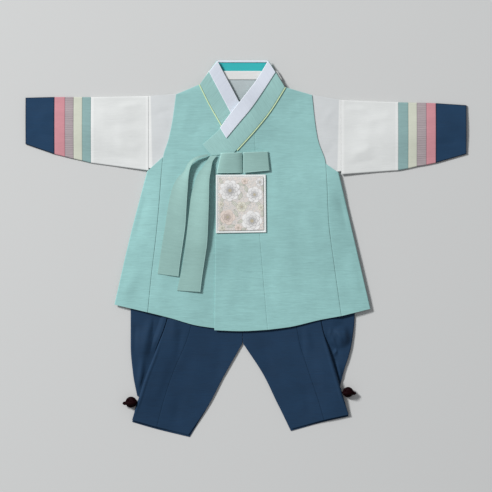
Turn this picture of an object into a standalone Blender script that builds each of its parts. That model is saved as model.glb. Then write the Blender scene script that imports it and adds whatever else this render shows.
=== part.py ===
"""A baby boy's hanbok laid out flat: overcoat, jacket, trousers, collar, bow and badge.

Origin: centre of the footprint, on the surface it lies on. +Y points to the collar, +X to the
wearer's left, +Z up. Outlines are in millimetres.
"""
import bpy
import bmesh
import numpy as np

for old in list(bpy.data.objects):
    bpy.data.objects.remove(old, do_unlink=True)

MM = 0.001
WALL = 1.1               # cloth with its lining
LAYER_GAP = 0.5          # air between cloths that lie on each other
PITCH = WALL + LAYER_GAP
SEAM_GAP = 0.3           # between pieces sewn edge to edge
DRAPE_MARGIN = 8.0       # a cloth stays up this far past the edge that it lies over
DRAPE_RAMP = 60.0        # and comes down over this length
TRIM_MARGIN = 6.0        # the same for the narrow collar pieces
TRIM_RAMP = 42.0
EDGE_SAMPLES = 7         # points on each side of an outline that upper cloths drape over
RETURN_SHARE = 0.8       # how far a side panel wraps back underneath, as a share of its width on top
BACK_SEAM_SHARE = 0.06   # the back panel starts this much further in
TOP_SHARE = 5 / 14       # share of a folded cloth's mesh rows on top, and round the fold
TURN_SHARE = 4 / 14
FOLD_STEPS = 14
SLEEVE_FOLD = 1.6        # radius of a sleeve's folded edges
STRAIGHT_SHARE = 0.625   # share of a sleeve ring's points on its flat walls
TUBE_STEPS = 16

MINT = (0.29, 0.50, 0.49)
MINT_TRIM = (0.30, 0.48, 0.45)
PIPING = (0.62, 0.75, 0.48)
TEAL = (0.03, 0.43, 0.44)
WHITE = (0.68, 0.70, 0.70)
STRIP_WHITE = (0.66, 0.66, 0.74)
CREAM = (0.62, 0.64, 0.53)
MAUVE = (0.38, 0.32, 0.34)
PINK = (0.60, 0.27, 0.30)
CUFF_NAVY = (0.018, 0.05, 0.11)
TROUSER_NAVY = (0.016, 0.042, 0.085)
MAROON = (0.02, 0.006, 0.01)
BADGE = (0.58, 0.56, 0.53)

# Overcoat outlines, each a run of (X, Y), from the hem upwards or from -X to +X
SIDE_FOLD = {"right": ((-210.8, -89.5), (-187.1, 14.0), (-158.6, 123.6)),
             "left": ((199.4, -96.3), (173.7, 14.0), (149.0, 121.5))}
SIDE_SEAM = {"right": ((-157.2, -101.9), (-151.3, -42.0), (-144.1, 17.2), (-139.0, 70.0), (-132.7, 147.0)),
             "left": ((152.4, -107.8), (139.1, -12.6), (132.1, 42.5), (127.6, 136.0))}
ARMHOLE = {"right": ((-132.7, 147.0), (-124.1, 175.6), (-118.0, 204.7), (-112.1, 247.3)),
           "left": ((127.6, 136.0), (115.3, 174.2), (110.6, 201.7), (105.8, 246.3))}

FRONT_EDGE = ((-50.6, -130.6), (-48.9, 14.0), (-48.1, 100.0), (-54.0, 150.0))
OVERLAP_SEAM = ((34.8, -129.9), (26.5, -34.0), (21.8, 24.1), (15.0, 155.8), (14.0, 188.0))
UNDER_EDGE = ((45.0, -126.0), (45.0, 20.0), (22.0, 100.0), (-12.0, 158.0))
NECK_EDGE = {"right": ((-12.0, 158.0), (-44.0, 218.0), (-68.0, 261.5)),
             "left": ((14.0, 188.0), (31.0, 226.0), (55.0, 261.0))}
SHOULDER = {"right": ((-112.1, 247.3), (-68.0, 265.6)),
            "left": ((55.0, 260.8), (105.8, 246.3))}
FRONT_HEM = {"right": ((-157.2, -101.9), (-121.7, -110.8), (-73.7, -123.9), (-25.0, -129.0), (45.0, -126.0)),
             "left": ((34.8, -129.9), (70.3, -125.2), (118.3, -114.0), (152.4, -107.8))}
OVERLAP_HEM = ((-50.6, -130.6), (-8.0, -132.1), (34.8, -129.9))
OVERLAP_TOP = ((-54.0, 150.0), (-22.0, 168.0), (14.0, 188.0))
BACK_HEM = ((-170.0, -98.0), (-89.7, -117.5), (0.0, -129.5), (86.3, -119.5), (160.0, -103.5))
BACK_NECK = ((-112.1, 247.0), (-66.0, 262.0), (0.0, 259.0), (56.0, 258.5), (105.8, 245.8))

# Collar outlines, from the back of the neck down to the overlap
COLLAR_INNER = {"right": ((-46.5, 301.7), (-36.9, 282.8), (-24.1, 258.8), (-11.0, 234.0), (10.0, 196.0)),
                "left": ((35.9, 301.7), (17.5, 270.8), (-4.9, 241.2), (-24.1, 217.2), (-41.7, 192.6),
                         (-69.7, 167.1))}
COLLAR_OUTER = {"right": ((-73.7, 263.6), (-57.7, 231.6), (-39.6, 200.2), (-22.0, 170.0)),
                "left": ((62.0, 258.8), (38.3, 221.2), (14.3, 190.8), (-15.5, 157.7), (-18.8, 154.0),
                         (-40.0, 150.5), (-55.3, 148.9))}
STRIP_INNER = {"right": ((-45.9, 301.0), (-36.4, 282.8), (-23.6, 258.8), (-10.5, 234.0), (2.0, 211.0)),
               "left": ((35.3, 301.0), (17.0, 270.8), (-5.4, 241.2), (-24.5, 217.2), (-41.7, 193.5))}
STRIP_OUTER = {"right": ((-59.3, 283.0), (-42.0, 250.0), (-24.9, 218.0), (-15.0, 199.5)),
               "left": ((47.1, 282.4), (25.5, 249.2), (6.3, 222.0), (-9.7, 202.8), (-31.3, 176.7))}
COLLAR_BACK = ((-45.6, 301.7), (35.0, 301.7), (-62.0, 262.6), (54.0, 259.6))
BACK_FOLD_HEIGHT = 3.0   # the strip's fold that shows along the top of the collar
BACK_FOLD_IN = 0.8       # how far inside the collar's corners it ends, and the slant of its ends
BACK_FOLD_SLANT = 0.42
FACING = ((-60.0, 284.8), (50.0, 284.8), (-68.0, 271.0), (58.0, 271.0))
PIPING_WIDTH = 2.2
PIPING_END = {"right": 0.72, "left": 0.75}    # share of the band's outer edge

# Jacket outlines: the body reaches past the overcoat's armholes to the sleeve seams
JACKET_SEAM_TOP = {"right": (-156.0, 244.9), "left": (152.6, 238.4)}
JACKET_SEAM_LOW = {"right": (-156.0, 127.5), "left": (152.6, 122.5)}
JACKET_HEM_Y = 25.0
JACKET_SIDE_X = {"right": -122.0, "left": 118.0}
JACKET_SHOULDER = {"right": (-112.1, 248.6), "left": (105.8, 246.9)}
JACKET_NECK_X = {"right": -72.0, "left": 60.0}
JACKET_NECK_Y = {"right": 261.0, "left": 257.0}
JACKET_OVERLAP = 26.0    # each front runs this far past the middle
JACKET_MIDDLE_X = -6.0
JACKET_UNDERARM = ((16.0, -5.0), (8.0, 1.0), (0.0, 2.0))    # steps from the low end of the sleeve seam
JACKET_WAIST = (8.0, -22.0)                                 # step from its side there
JACKET_SIDE_RUN = 40.0   # its side is straight this far up from the hem
JACKET_FRONT_Y = (130.0, 170.0)    # where a front's edge starts to slant, and where it meets the middle
JACKET_NECK_IN = 4.0

# Sleeves: rows of (X, top Y, bottom Y) at each seam, from the body to the wrist
SLEEVE_ROWS = {
    "right": (("sleeve", -156.0, 244.8, 125.2), ("band_mint", -248.6, 243.0, 137.6),
              ("band_cream", -262.5, 243.1, 141.1), ("band_mauve", -276.5, 243.3, 144.2),
              ("band_pink", -290.2, 243.3, 147.6), ("cuff", -307.0, 243.3, 151.6),
              ("end", -353.4, 242.2, 167.6)),
    "left": (("sleeve", 152.6, 238.3, 119.0), ("band_mint", 244.0, 234.8, 125.6),
             ("band_cream", 260.0, 234.5, 128.6), ("band_mauve", 274.0, 234.2, 131.9),
             ("band_pink", 289.1, 233.9, 134.4), ("cuff", 304.2, 233.4, 137.6),
             ("end", 353.4, 230.2, 151.8))}
SLEEVE_PUFF = 3.2        # how far the middle of a sleeve stands up, full at this share of its length
SLEEVE_PUFF_FULL = 0.25
SLEEVE_PUFF_END = 0.4    # what is left of it at the wrist
SLEEVE_SECTIONS = {"sleeve": 6, "band_mint": 1, "band_cream": 1, "band_mauve": 1, "band_pink": 1, "cuff": 3}

# Trousers, per leg
TROUSER_TOP_Y = 58.0
WAISTBAND_TOP_Y = 88.0
WAIST_X = {"right": -125.0, "left": 118.0}
CROTCH = (-5.4, -151.0)
LEG_INNER = {"right": ((-90.5, -301.7), (-57.7, -246.8), (-38.5, -209.5), (-8.2, -155.7), (-5.6, -151.0)),
             "left": ((71.9, -292.1), (54.3, -255.6), (27.9, -201.8), (-2.4, -155.1), (-5.0, -151.0))}
LEG_SEAM = {"right": ((-143.0, -289.0), (-131.0, -240.2), (-114.2, -191.8), (-95.1, -147.4), (-87.0, -118.0),
                      (-78.0, -60.0), (-66.0, 58.0)),
            "left": ((125.0, -277.5), (114.9, -240.2), (99.1, -193.8), (85.9, -151.0), (80.0, -120.0),
                     (68.0, -60.0), (58.0, 58.0))}
LEG_RIDGE = {"right": ((-182.5, -277.7), (-172.3, -240.4), (-161.5, -206.0), (-144.1, -162.0),
                       (-127.5, -118.0), (-112.0, -50.0), (-96.0, 58.0)),
             "left": ((164.6, -268.8), (158.3, -245.2), (147.9, -210.0), (135.5, -168.0),
                      (123.6, -132.0), (110.0, -60.0), (90.0, 58.0))}
LEG_SIDE = {"right": ((-174.5, -236.0), (-180.9, -202.0), (-184.9, -155.0), (-184.9, -99.6), (-165.0, -20.0),
                      (-125.0, 58.0)),
            "left": ((151.0, -219.5), (158.2, -191.8), (164.6, -172.7), (169.5, -152.0), (174.3, -106.0),
                     (158.0, -20.0), (118.0, 58.0))}
FRONT_LEG_HEM_RISE = 3.2 # the front of a hem ends this far above its back
FRONT_LEG_HEM_IN = 1.5   # and this far inside it at the inner leg
BACK_HEM_DROP = 4.0      # the back's outer corner lies this far below the ankle, and this far inside it
BACK_HEM_IN = 3.0
CROTCH_RUN = 40.0        # length over which the inner leg turns into the middle seam
RIDGE_LIFT = 3.6         # how far the folded edge of the outer front stands up
RIDGE_RISE = (0.12, 0.26, 0.46)    # shares of the leg where it is full, starts to sink and is flat
RIDGE_RETURN = 18.0      # width turned under at that edge, and its share of the panel
RIDGE_RETURN_SHARE = 0.35
SIDE_HIDDEN = 12.0       # width of the side panel under the outer front
SIDE_LIFT = 1.5          # how far the side panel billows, at these shares of the leg and of its width
SIDE_RISE = (0.15, 0.27, 0.42)
SIDE_FLAT_SHARE = 0.32
PUFF_CENTRE = {"right": (-168.0, -150.0), "left": (148.5, -141.0)}
PUFF_RADIUS = {"right": 26.0, "left": 22.0}
PUFF_HEIGHT = {"right": 2.5, "left": 8.5}
KNOT = {"right": (-183.9, -245.6, 10.0), "left": (163.4, -229.6, 9.4)}    # X, Y, radius
KNOT_GROOVE = 0.12       # depth between a knot's strands, as a share of its radius
KNOT_STRANDS = 3
KNOT_TWIST = 4.0
KNOT_FLATNESS = 0.8
KNOT_SEAT = 0.72         # height of its middle above the floor, as a share of its radius

# Bow, ribbon tails and badge
BOW_WRAP = ((-40.1, 153.2), (-5.9, 154.0), (-47.0, 120.9), (-5.4, 121.5))
BOW_LOOP = ((-4.4, 154.3), (35.1, 155.6), (-4.4, 121.2), (38.3, 125.2))
BOW_LIFT = 2.4           # how far the bow's left box stands up in the middle, and its right one
BOW_LOOP_LIFT = 1.2
BOW_LOOP_RETURN = 0.9    # how far the loop runs back underneath, as a share of its width
RIBBONS = {
    "under": (((-62.0, 151.5), (-80.0, 147.0), (-93.0, 136.5), (-100.2, 123.0), (-109.7, 113.5),
               (-118.5, 95.3), (-124.4, 69.2), (-130.5, 30.0), (-134.5, 6.0), (-141.6, -40.0)),
              ((-60.2, 148.6), (-77.7, 143.0), (-88.1, 131.8), (-91.6, 116.1), (-93.2, 95.3), (-94.5, 78.0),
               (-96.9, 38.0), (-100.1, 14.0), (-106.0, -26.0), (-108.2, -44.4))),
    "over": (((-57.5, 148.2), (-67.3, 133.4), (-79.4, 114.3), (-83.8, 99.6), (-88.1, 82.2), (-91.5, 54.0),
              (-96.1, 14.0), (-101.7, -26.0), (-110.5, -66.8)),
             ((-46.5, 149.4), (-53.4, 138.6), (-56.4, 123.0), (-58.6, 108.2), (-59.3, 78.0), (-61.7, 14.0),
              (-66.5, -21.2), (-69.7, -42.0), (-73.2, -69.2)))}
# How far a tail's right edge stands up, at shares of its length
RIBBON_LIFT = {"under": ((0.0, 2.0), (0.14, 8.0), (0.4, 4.5), (0.6, 2.2), (1.0, 1.2)),
               "over": ((0.0, 2.0), (0.12, 8.0), (0.42, 8.0), (0.62, 4.5), (0.72, 2.2), (1.0, 1.0))}
RIBBON_ON_EDGE = 0.3     # over this share it turns from standing on edge to lying flat
BADGE_OUTLINE = ((-48.1, 118.3), (31.6, 118.6), (-48.1, 24.9), (32.2, 26.3))
BADGE_BORDER = 3.7


def colour(name, rgb, roughness=0.85):
    """A matt cloth colour."""
    material = bpy.data.materials.new(name)
    material.use_nodes = True
    shader = material.node_tree.nodes["Principled BSDF"]
    shader.inputs["Base Color"].default_value = (*rgb, 1.0)
    shader.inputs["Roughness"].default_value = roughness
    shader.inputs["Metallic"].default_value = 0.0
    return material


def run_along(points, share):
    """Points at the given shares of a smooth run's length, with no overshoot at its corners."""
    points = np.array(points, float)
    steps = np.linalg.norm(np.diff(points, axis=0), axis=1)
    knots = np.concatenate(([0.0], np.cumsum(steps)))
    rates = np.diff(points, axis=0) / steps[:, None]
    product = rates[:-1] * rates[1:]
    total = np.where(product > 0, rates[:-1] + rates[1:], 1.0)
    middle = np.where(product > 0, 2 * product / total, 0.0)
    slopes = np.concatenate((rates[:1], middle, rates[-1:]))
    place = np.clip(share, 0.0, 1.0) * knots[-1]
    cell = np.clip(np.searchsorted(knots, place, side="right") - 1, 0, len(steps) - 1)
    length = steps[cell][:, None]
    t = (place - knots[cell])[:, None] / length
    near, far = points[cell], points[cell + 1]
    return ((2 * t ** 3 - 3 * t ** 2 + 1) * near + (t ** 3 - 2 * t ** 2 + t) * length * slopes[cell]
            + (3 * t ** 2 - 2 * t ** 3) * far + (t ** 3 - t ** 2) * length * slopes[cell + 1])


def patch(low, high, left, right):
    """A four-sided outline as a function of u (left to right) and v (low to high)."""
    def place(u, v):
        across = (1 - v)[:, None] * run_along(low, u) + v[:, None] * run_along(high, u)
        along = (1 - u)[:, None] * run_along(left, v) + u[:, None] * run_along(right, v)
        corners = [np.array(point, float) for point in (low[0], low[-1], high[0], high[-1])]
        weights = ((1 - u) * (1 - v), u * (1 - v), (1 - u) * v, u * v)
        return across + along - sum(w[:, None] * corner for w, corner in zip(weights, corners))
    return place


def quad(high_left, high_right, low_left, low_right):
    """A straight-sided patch from its four corners."""
    return patch((low_left, low_right), (high_left, high_right), (low_left, high_left),
                 (low_right, high_right))


def outline_of(place):
    """The closed outline of a patch, as points."""
    share = np.arange(EDGE_SAMPLES) / EDGE_SAMPLES
    zero = np.zeros(EDGE_SAMPLES)
    return np.concatenate([place(share, zero), place(zero + 1, share),
                           place(1 - share, zero + 1), place(zero, 1 - share)])


def cover(outline, xy, margin, ramp):
    """1 inside an outline, falling to 0 over a ramp outside it."""
    start, end = outline, np.roll(outline, -1, axis=0)
    edge = end - start
    offset = xy[:, None, :] - start[None]
    share = np.clip((offset * edge).sum(2) / np.maximum((edge ** 2).sum(1), 1e-9), 0, 1)
    distance = np.linalg.norm(offset - share[..., None] * edge, axis=2).min(1)
    crosses = (start[:, 1] > xy[:, None, 1]) != (end[:, 1] > xy[:, None, 1])
    rise = np.where(edge[:, 1] == 0, 1e-9, edge[:, 1])
    at_x = start[:, 0] + (xy[:, None, 1] - start[:, 1]) * edge[:, 0] / rise
    inside = (crosses & (xy[:, None, 0] < at_x)).sum(1) % 2 == 1
    fall = np.clip((np.where(inside, 0.0, distance) - margin) / ramp, 0, 1)
    return 1 - fall ** 2 * (3 - 2 * fall)


layers = []              # (outlines, margin, ramp) of each cloth laid so far, from the floor up


def lay(*places, margin=DRAPE_MARGIN, ramp=DRAPE_RAMP):
    """Adds a cloth's patches to the pile, and returns how many cloths the next one lies on."""
    layers.append(([outline_of(place) for place in places], margin, ramp))
    return len(layers)


def pile(xy, below):
    """Height of the underside of a cloth that lies on the first so many cloths."""
    height = np.zeros(len(xy))
    for outlines, margin, ramp in layers[:below]:
        height += PITCH * np.max([cover(outline, xy, margin, ramp) for outline in outlines], axis=0)
    return height


def cloth(name, material, outer, inner, across, along, closed=False):
    """A wall of cloth between two surfaces, each a function of u across and v along the piece."""
    bm = bmesh.new()
    u_layer = bm.verts.layers.float.new("u")
    v_layer = bm.verts.layers.float.new("v")
    bmesh.ops.create_grid(bm, x_segments=across, y_segments=along, size=0.5)
    for vert in bm.verts:
        vert[u_layer] = vert.co.x + 0.5
        vert[v_layer] = vert.co.y + 0.5

    def put(verts, surface):
        u = np.array([vert[u_layer] for vert in verts])
        v = np.array([vert[v_layer] for vert in verts])
        for vert, point in zip(verts, surface(u, v) * MM):
            vert.co = point

    put(list(bm.verts), outer)
    if closed:
        bmesh.ops.remove_doubles(bm, verts=bm.verts, dist=0.01 * MM)
    turned = bmesh.ops.extrude_face_region(bm, geom=bm.faces[:])["geom"]
    put([item for item in turned if isinstance(item, bmesh.types.BMVert)], inner)
    bmesh.ops.recalc_face_normals(bm, faces=bm.faces)
    if bm.calc_volume(signed=True) < 0:
        bmesh.ops.reverse_faces(bm, faces=bm.faces)
    mesh = bpy.data.meshes.new(name)
    bm.to_mesh(mesh)
    bm.free()
    mesh.shade_smooth()
    mesh.set_sharp_from_angle(angle=0.7)
    mesh.materials.append(material)
    piece = bpy.data.objects.new(name, mesh)
    bpy.context.collection.objects.link(piece)
    return piece


def flat(name, material, place, below, across, along, lift=None):
    """A cloth that lies on the pile, raised where lift says, a function of u, v and place."""
    def inner(u, v):
        xy = place(u, v)
        rise = lift(u, v, xy) if lift else 0.0
        return np.column_stack((xy, pile(xy, below) + rise))

    def outer(u, v):
        return inner(u, v) + (0.0, 0.0, WALL)
    return cloth(name, material, outer, inner, across, along)


def ease(share):
    """A share from 0 to 1 that starts and ends gently."""
    share = np.clip(share, 0.0, 1.0)
    return share ** 2 * (3 - 2 * share)


def swell(share, rise):
    """1 between the first two shares given, 0 at the start and after the third."""
    full, sinking, flat_again = rise
    return ease(share / full) * ease((flat_again - share) / (flat_again - sinking))


def folded(name, material, seam, fold, under_share, levels, along, lift=None):
    """A cloth that runs on top from a seam to a fold, round it, and back underneath.

    seam and fold are runs of points; under_share is how far back it returns, as a share of the top.
    levels are the pile counts of the wall underneath and of the wall on top. lift is a function of
    v and place that raises the top wall.
    """
    def surface(inset):
        def points(u, v):
            seam_xy = run_along(seam, v)
            fold_xy = run_along(fold, v)
            way = fold_xy - seam_xy
            width = np.linalg.norm(way, axis=1)[:, None]
            way = way / width
            low_edge = pile(fold_xy, levels[0])
            high_edge = pile(fold_xy, levels[1]) + (lift(v, fold_xy, 1.0) if lift else 0.0)
            radius = (high_edge + WALL - low_edge) / 2
            centre = fold_xy - way * radius[:, None]
            on_top = np.clip(u / TOP_SHARE, 0, 1)
            turn = np.clip((u - TOP_SHARE) / TURN_SHARE, 0, 1)
            under = np.clip((u - TOP_SHARE - TURN_SHARE) / (1 - TOP_SHARE - TURN_SHARE), 0, 1)
            top_xy = seam_xy + (centre - seam_xy) * on_top[:, None]
            top_z = pile(top_xy, levels[1]) + (lift(v, top_xy, on_top) if lift else 0.0)
            top_z += ease(on_top) * (high_edge - pile(centre, levels[1])
                                     - (lift(v, centre, 1.0) if lift else 0.0))
            under_xy = centre - way * width * (under_share * under)[:, None]
            under_z = pile(under_xy, levels[0]) + (1 - ease(under)) * (low_edge - pile(centre, levels[0]))
            angle = np.pi * (0.5 - turn)
            turn_xy = centre + way * ((radius - inset) * np.cos(angle))[:, None]
            turn_z = low_edge + radius + (radius - inset) * np.sin(angle)
            top = u < TOP_SHARE + 1e-6
            bottom = u > TOP_SHARE + TURN_SHARE - 1e-6
            xy = np.where(top[:, None], top_xy, np.where(bottom[:, None], under_xy, turn_xy))
            z = np.where(top, top_z + WALL - inset, np.where(bottom, under_z + inset, turn_z))
            return np.column_stack((xy, z))
        return points
    return cloth(name, material, surface(0.0), surface(WALL), FOLD_STEPS, along)


def tube(name, material, rows, level, along, puff):
    """A flattened sleeve through rows of (X, top Y, bottom Y); puff is a function of X."""
    rows = np.array(rows, float)

    def surface(inset):
        def points(u, v):
            x = rows[0, 0] + (rows[-1, 0] - rows[0, 0]) * v
            order = np.argsort(rows[:, 0])
            high = np.interp(x, rows[order, 0], rows[order, 1])
            low = np.interp(x, rows[order, 0], rows[order, 2])
            middle = (high + low) / 2
            reach = (high - low) / 2 - SLEEVE_FOLD
            part = u * 2 % 1
            upper = u >= 0.5 - 1e-6
            upper &= u < 1 - 1e-6
            side = np.where(upper, 1.0, -1.0)
            straight = np.clip(part / STRAIGHT_SHARE, 0, 1)
            turn = np.clip((part - STRAIGHT_SHARE) / (1 - STRAIGHT_SHARE), 0, 1)
            s = side * (1 - 2 * straight)
            end_x = SLEEVE_FOLD - inset
            turning = part > STRAIGHT_SHARE
            y = middle + s * reach - side * np.where(turning, end_x * np.sin(np.pi * turn), 0.0)
            base = pile(np.column_stack((x, y)), level)
            bump = (1 - s ** 2) ** 2 * puff(x)
            z = np.where(turning, SLEEVE_FOLD + side * end_x * np.cos(np.pi * turn),
                         np.where(upper, 2 * SLEEVE_FOLD - inset + bump, inset))
            return np.column_stack((x, y, base + z))
        return points
    return cloth(name, material, surface(0.0), surface(WALL), TUBE_STEPS, along, closed=True)


def run_length(points):
    return np.linalg.norm(np.diff(np.array(points, float), axis=0), axis=1).sum()


def stretch(points, share, count=9):
    """The first share of a run, as a run of its own."""
    return tuple(map(tuple, run_along(points, np.linspace(0, share, count))))


def shifted(points, dx, dy=0.0):
    return tuple((x + dx, y + dy) for x, y in points)


def between(first, second, share, count=6):
    """A run of points that lies a share of the way from one run to another."""
    v = np.linspace(0, 1, count)
    return tuple(map(tuple, run_along(first, v) * (1 - share) + run_along(second, v) * share))


SIDES = ("right", "left")                # the wearer's, so right is at -X
MIRROR = {"right": 1.0, "left": -1.0}    # the way to the body's middle along X


def leg_parts(side):
    """The runs that bound one leg's pieces, all from the ankle to the waist."""
    inward = MIRROR[side]
    ridge = LEG_RIDGE[side]
    side_seam = shifted(ridge[1:], inward * SIDE_HIDDEN)
    side_back = between(LEG_SIDE[side], side_seam, RETURN_SHARE + BACK_SEAM_SHARE)
    ankle_x, ankle_y = ridge[1]
    back_edge = (ridge[0], (ankle_x, ankle_y - BACK_HEM_DROP),
                 *shifted(side_back[:1], inward * BACK_HEM_IN, -BACK_HEM_DROP),
                 *shifted(side_back[1:], inward * LAYER_GAP))
    middle_x = CROTCH[0] - inward * SEAM_GAP / 2
    inner = (*LEG_INNER[side], (middle_x, CROTCH[1] + CROTCH_RUN), (middle_x, TROUSER_TOP_Y))
    return {"ridge": ridge, "side_seam": side_seam, "back_edge": back_edge, "inner": inner,
            "outer": (*ridge[:1], (ankle_x, ankle_y), *LEG_SIDE[side][1:])}


def trousers(side, level, pieces):
    """One layer of one leg, at a pile level, from the floor up."""
    parts = leg_parts(side)
    material = materials["trousers"]
    inward = MIRROR[side]
    seam = LEG_SEAM[side]
    if pieces == "back":
        place = patch((parts["back_edge"][0], seam[0], parts["inner"][0]),
                      (parts["back_edge"][-1], parts["inner"][-1]), parts["back_edge"], parts["inner"])
        flat(f"trousers_back_{side}", material, place, level, 6, 14)
        return
    if pieces == "side":
        puff_centre = np.array(PUFF_CENTRE[side])

        def puff(v, xy, on_top):
            reach = np.linalg.norm(xy - puff_centre, axis=1) / PUFF_RADIUS[side]
            across = ease((on_top - SIDE_FLAT_SHARE) / (1 - SIDE_FLAT_SHARE) * 1.5)
            billow = SIDE_LIFT * swell(v, SIDE_RISE) * across
            return PUFF_HEIGHT[side] * np.clip(1 - reach ** 2, 0, 1) ** 2 + billow
        folded(f"trousers_side_{side}", material, parts["side_seam"], LEG_SIDE[side], RETURN_SHARE,
               (0, level), 15, puff)
        return
    front_seam = (tuple(np.add(seam[0], (0.0, FRONT_LEG_HEM_RISE))), *seam[1:])
    ridge = (tuple(np.add(parts["ridge"][0], (0.0, FRONT_LEG_HEM_RISE))), *parts["ridge"][1:])
    inner = (tuple(np.add(parts["inner"][0], (-inward * FRONT_LEG_HEM_IN, FRONT_LEG_HEM_RISE))),
             *parts["inner"][1:])

    def ridge_lift(v, xy, on_top):
        return RIDGE_LIFT * swell(v, RIDGE_RISE) * ease(on_top)
    folded(f"trousers_outer_front_{side}", material, shifted(front_seam, -inward * SEAM_GAP), ridge,
           RIDGE_RETURN_SHARE, (level - 1, level), 14, ridge_lift)
    place = band_between(front_seam, inner)
    flat(f"trousers_front_{side}", material, place, level, 5, 14)


def leg_outline(side):
    parts = leg_parts(side)
    return band_between(parts["outer"], parts["inner"])


def side_outline(side):
    parts = leg_parts(side)
    return band_between(LEG_SIDE[side], parts["side_seam"])


def return_outline(side):
    parts = leg_parts(side)
    inner = shifted(parts["ridge"], MIRROR[side] * RIDGE_RETURN)
    return band_between(parts["ridge"], inner)


def waistband(name, level):
    low, high = TROUSER_TOP_Y + SEAM_GAP, WAISTBAND_TOP_Y
    place = quad((WAIST_X["right"], high), (WAIST_X["left"], high), (WAIST_X["right"], low),
                 (WAIST_X["left"], low))
    flat(name, materials["trousers"], place, level, 10, 1)
    return place


def knot(side):
    """A small tied knot of cord: a ball with the ridges of its strands, flat where it lies."""
    x, y, radius = KNOT[side]
    bm = bmesh.new()
    bmesh.ops.create_icosphere(bm, subdivisions=3, radius=radius)
    for vert in bm.verts:
        around = np.arctan2(vert.co.y, vert.co.x)
        height = np.arcsin(np.clip(vert.co.z / radius, -1, 1))
        vert.co *= 1 - KNOT_GROOVE * (0.5 + 0.5 * np.cos(KNOT_STRANDS * around + KNOT_TWIST * height))
        vert.co.z = max(vert.co.z * KNOT_FLATNESS + radius * KNOT_SEAT, 0.0)
        vert.co = (vert.co.x * MM + x * MM, vert.co.y * MM + y * MM, vert.co.z * MM)
    bmesh.ops.dissolve_degenerate(bm, edges=bm.edges, dist=0.001 * MM)
    mesh = bpy.data.meshes.new(f"ankle_knot_{side}")
    bm.to_mesh(mesh)
    bm.free()
    mesh.shade_smooth()
    mesh.materials.append(materials["knot"])
    piece = bpy.data.objects.new(mesh.name, mesh)
    bpy.context.collection.objects.link(piece)


def coat_body(edges):
    """The coat's back between two side edges, with its hem and neck."""
    return patch((edges["right"][0], *BACK_HEM[1:-1], edges["left"][0]),
                 (edges["right"][-1], *BACK_NECK[1:-1], edges["left"][-1]), edges["right"], edges["left"])


def coat_back():
    edges = {}
    for side in SIDES:
        edge = between(SIDE_FOLD[side], SIDE_SEAM[side], RETURN_SHARE + BACK_SEAM_SHARE)
        edges[side] = (*shifted(edge[:-1], MIRROR[side] * SEAM_GAP), *ARMHOLE[side][1:])
    return coat_body(edges)


def coat_outline():
    return coat_body({side: (*SIDE_FOLD[side], *ARMHOLE[side][1:]) for side in SIDES})


def coat_front(side):
    outer = (*SIDE_SEAM[side], *ARMHOLE[side][1:])
    if side == "right":
        inner = (*UNDER_EDGE, *NECK_EDGE[side][1:-1], SHOULDER[side][1])
        return patch(FRONT_HEM[side], SHOULDER[side], outer, inner)
    inner = (*OVERLAP_SEAM, *NECK_EDGE[side][1:-1], SHOULDER[side][0])
    return patch(FRONT_HEM[side], SHOULDER[side], inner, outer)


def overlap_panel():
    seam = shifted(OVERLAP_SEAM, -SEAM_GAP)
    return patch((*OVERLAP_HEM[:-1], seam[0]), (*OVERLAP_TOP[:-1], seam[-1]), FRONT_EDGE, seam)


def coat_side(side, levels):
    front = (*SIDE_SEAM[side], *ARMHOLE[side][1:])
    seam = stretch(front, run_length(SIDE_SEAM[side]) / run_length(front))
    folded(f"coat_side_{side}", materials["coat"], shifted(seam, -MIRROR[side] * LAYER_GAP),
           SIDE_FOLD[side], RETURN_SHARE, levels, 13)


def jacket_edge(side):
    """The side of the jacket's body, from its hem to the sleeve seam and the shoulder."""
    x = JACKET_SIDE_X[side]
    seam_x, low_y = JACKET_SEAM_LOW[side]
    waist_in, waist_down = JACKET_WAIST
    underarm = [(seam_x + MIRROR[side] * step_in, low_y + step_up) for step_in, step_up in JACKET_UNDERARM]
    return ((x, JACKET_HEM_Y), (x, JACKET_HEM_Y + JACKET_SIDE_RUN),
            (x - MIRROR[side] * waist_in, low_y + waist_down), *underarm, JACKET_SEAM_TOP[side])


def jacket_back():
    right, left = jacket_edge("right"), jacket_edge("left")
    neck_y = FACING[0][1]
    top = (right[-1], JACKET_SHOULDER["right"], BACK_NECK[1], (FACING[0][0], neck_y),
           (FACING[1][0], neck_y), BACK_NECK[3], JACKET_SHOULDER["left"], left[-1])
    return patch((right[0], left[0]), top, right, left)


def jacket_front(side):
    edge = jacket_edge(side)
    inner_x = JACKET_MIDDLE_X + MIRROR[side] * JACKET_OVERLAP
    neck = (JACKET_NECK_X[side], JACKET_NECK_Y[side])
    top = (edge[-1], JACKET_SHOULDER[side], neck)
    slant_y, middle_y = JACKET_FRONT_Y
    inner = ((inner_x, JACKET_HEM_Y), (inner_x, slant_y),
             (JACKET_MIDDLE_X + MIRROR[side] * JACKET_NECK_IN, middle_y), neck)
    if side == "right":
        return patch((edge[0], inner[0]), top, edge, inner)
    return patch((inner[0], edge[0]), tuple(reversed(top)), inner, edge)


def sleeve(side, level):
    rows = SLEEVE_ROWS[side]
    inward = MIRROR[side]
    start_x, end_x = rows[0][1], rows[-1][1]

    def puff(x):
        share = (x - start_x) / (end_x - start_x)
        sink = (1 - SLEEVE_PUFF_END) * ease(share * 2 - 1)
        return SLEEVE_PUFF * ease(share / SLEEVE_PUFF_FULL) * (1 - sink)
    for (name, *row), (next_name, *next_row) in zip(rows[:-1], rows[1:]):
        gap = SEAM_GAP if next_name != "end" else 0.0
        near = [row[0] - inward * SEAM_GAP / 2, *row[1:]] if name != "sleeve" else \
            [row[0] - inward * SEAM_GAP, *row[1:]]
        far = [next_row[0] + inward * gap / 2, *next_row[1:]]
        steps = SLEEVE_SECTIONS[name]
        tube(f"{name}_{side}", materials[name], (near, far), level, steps, puff)


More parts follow.
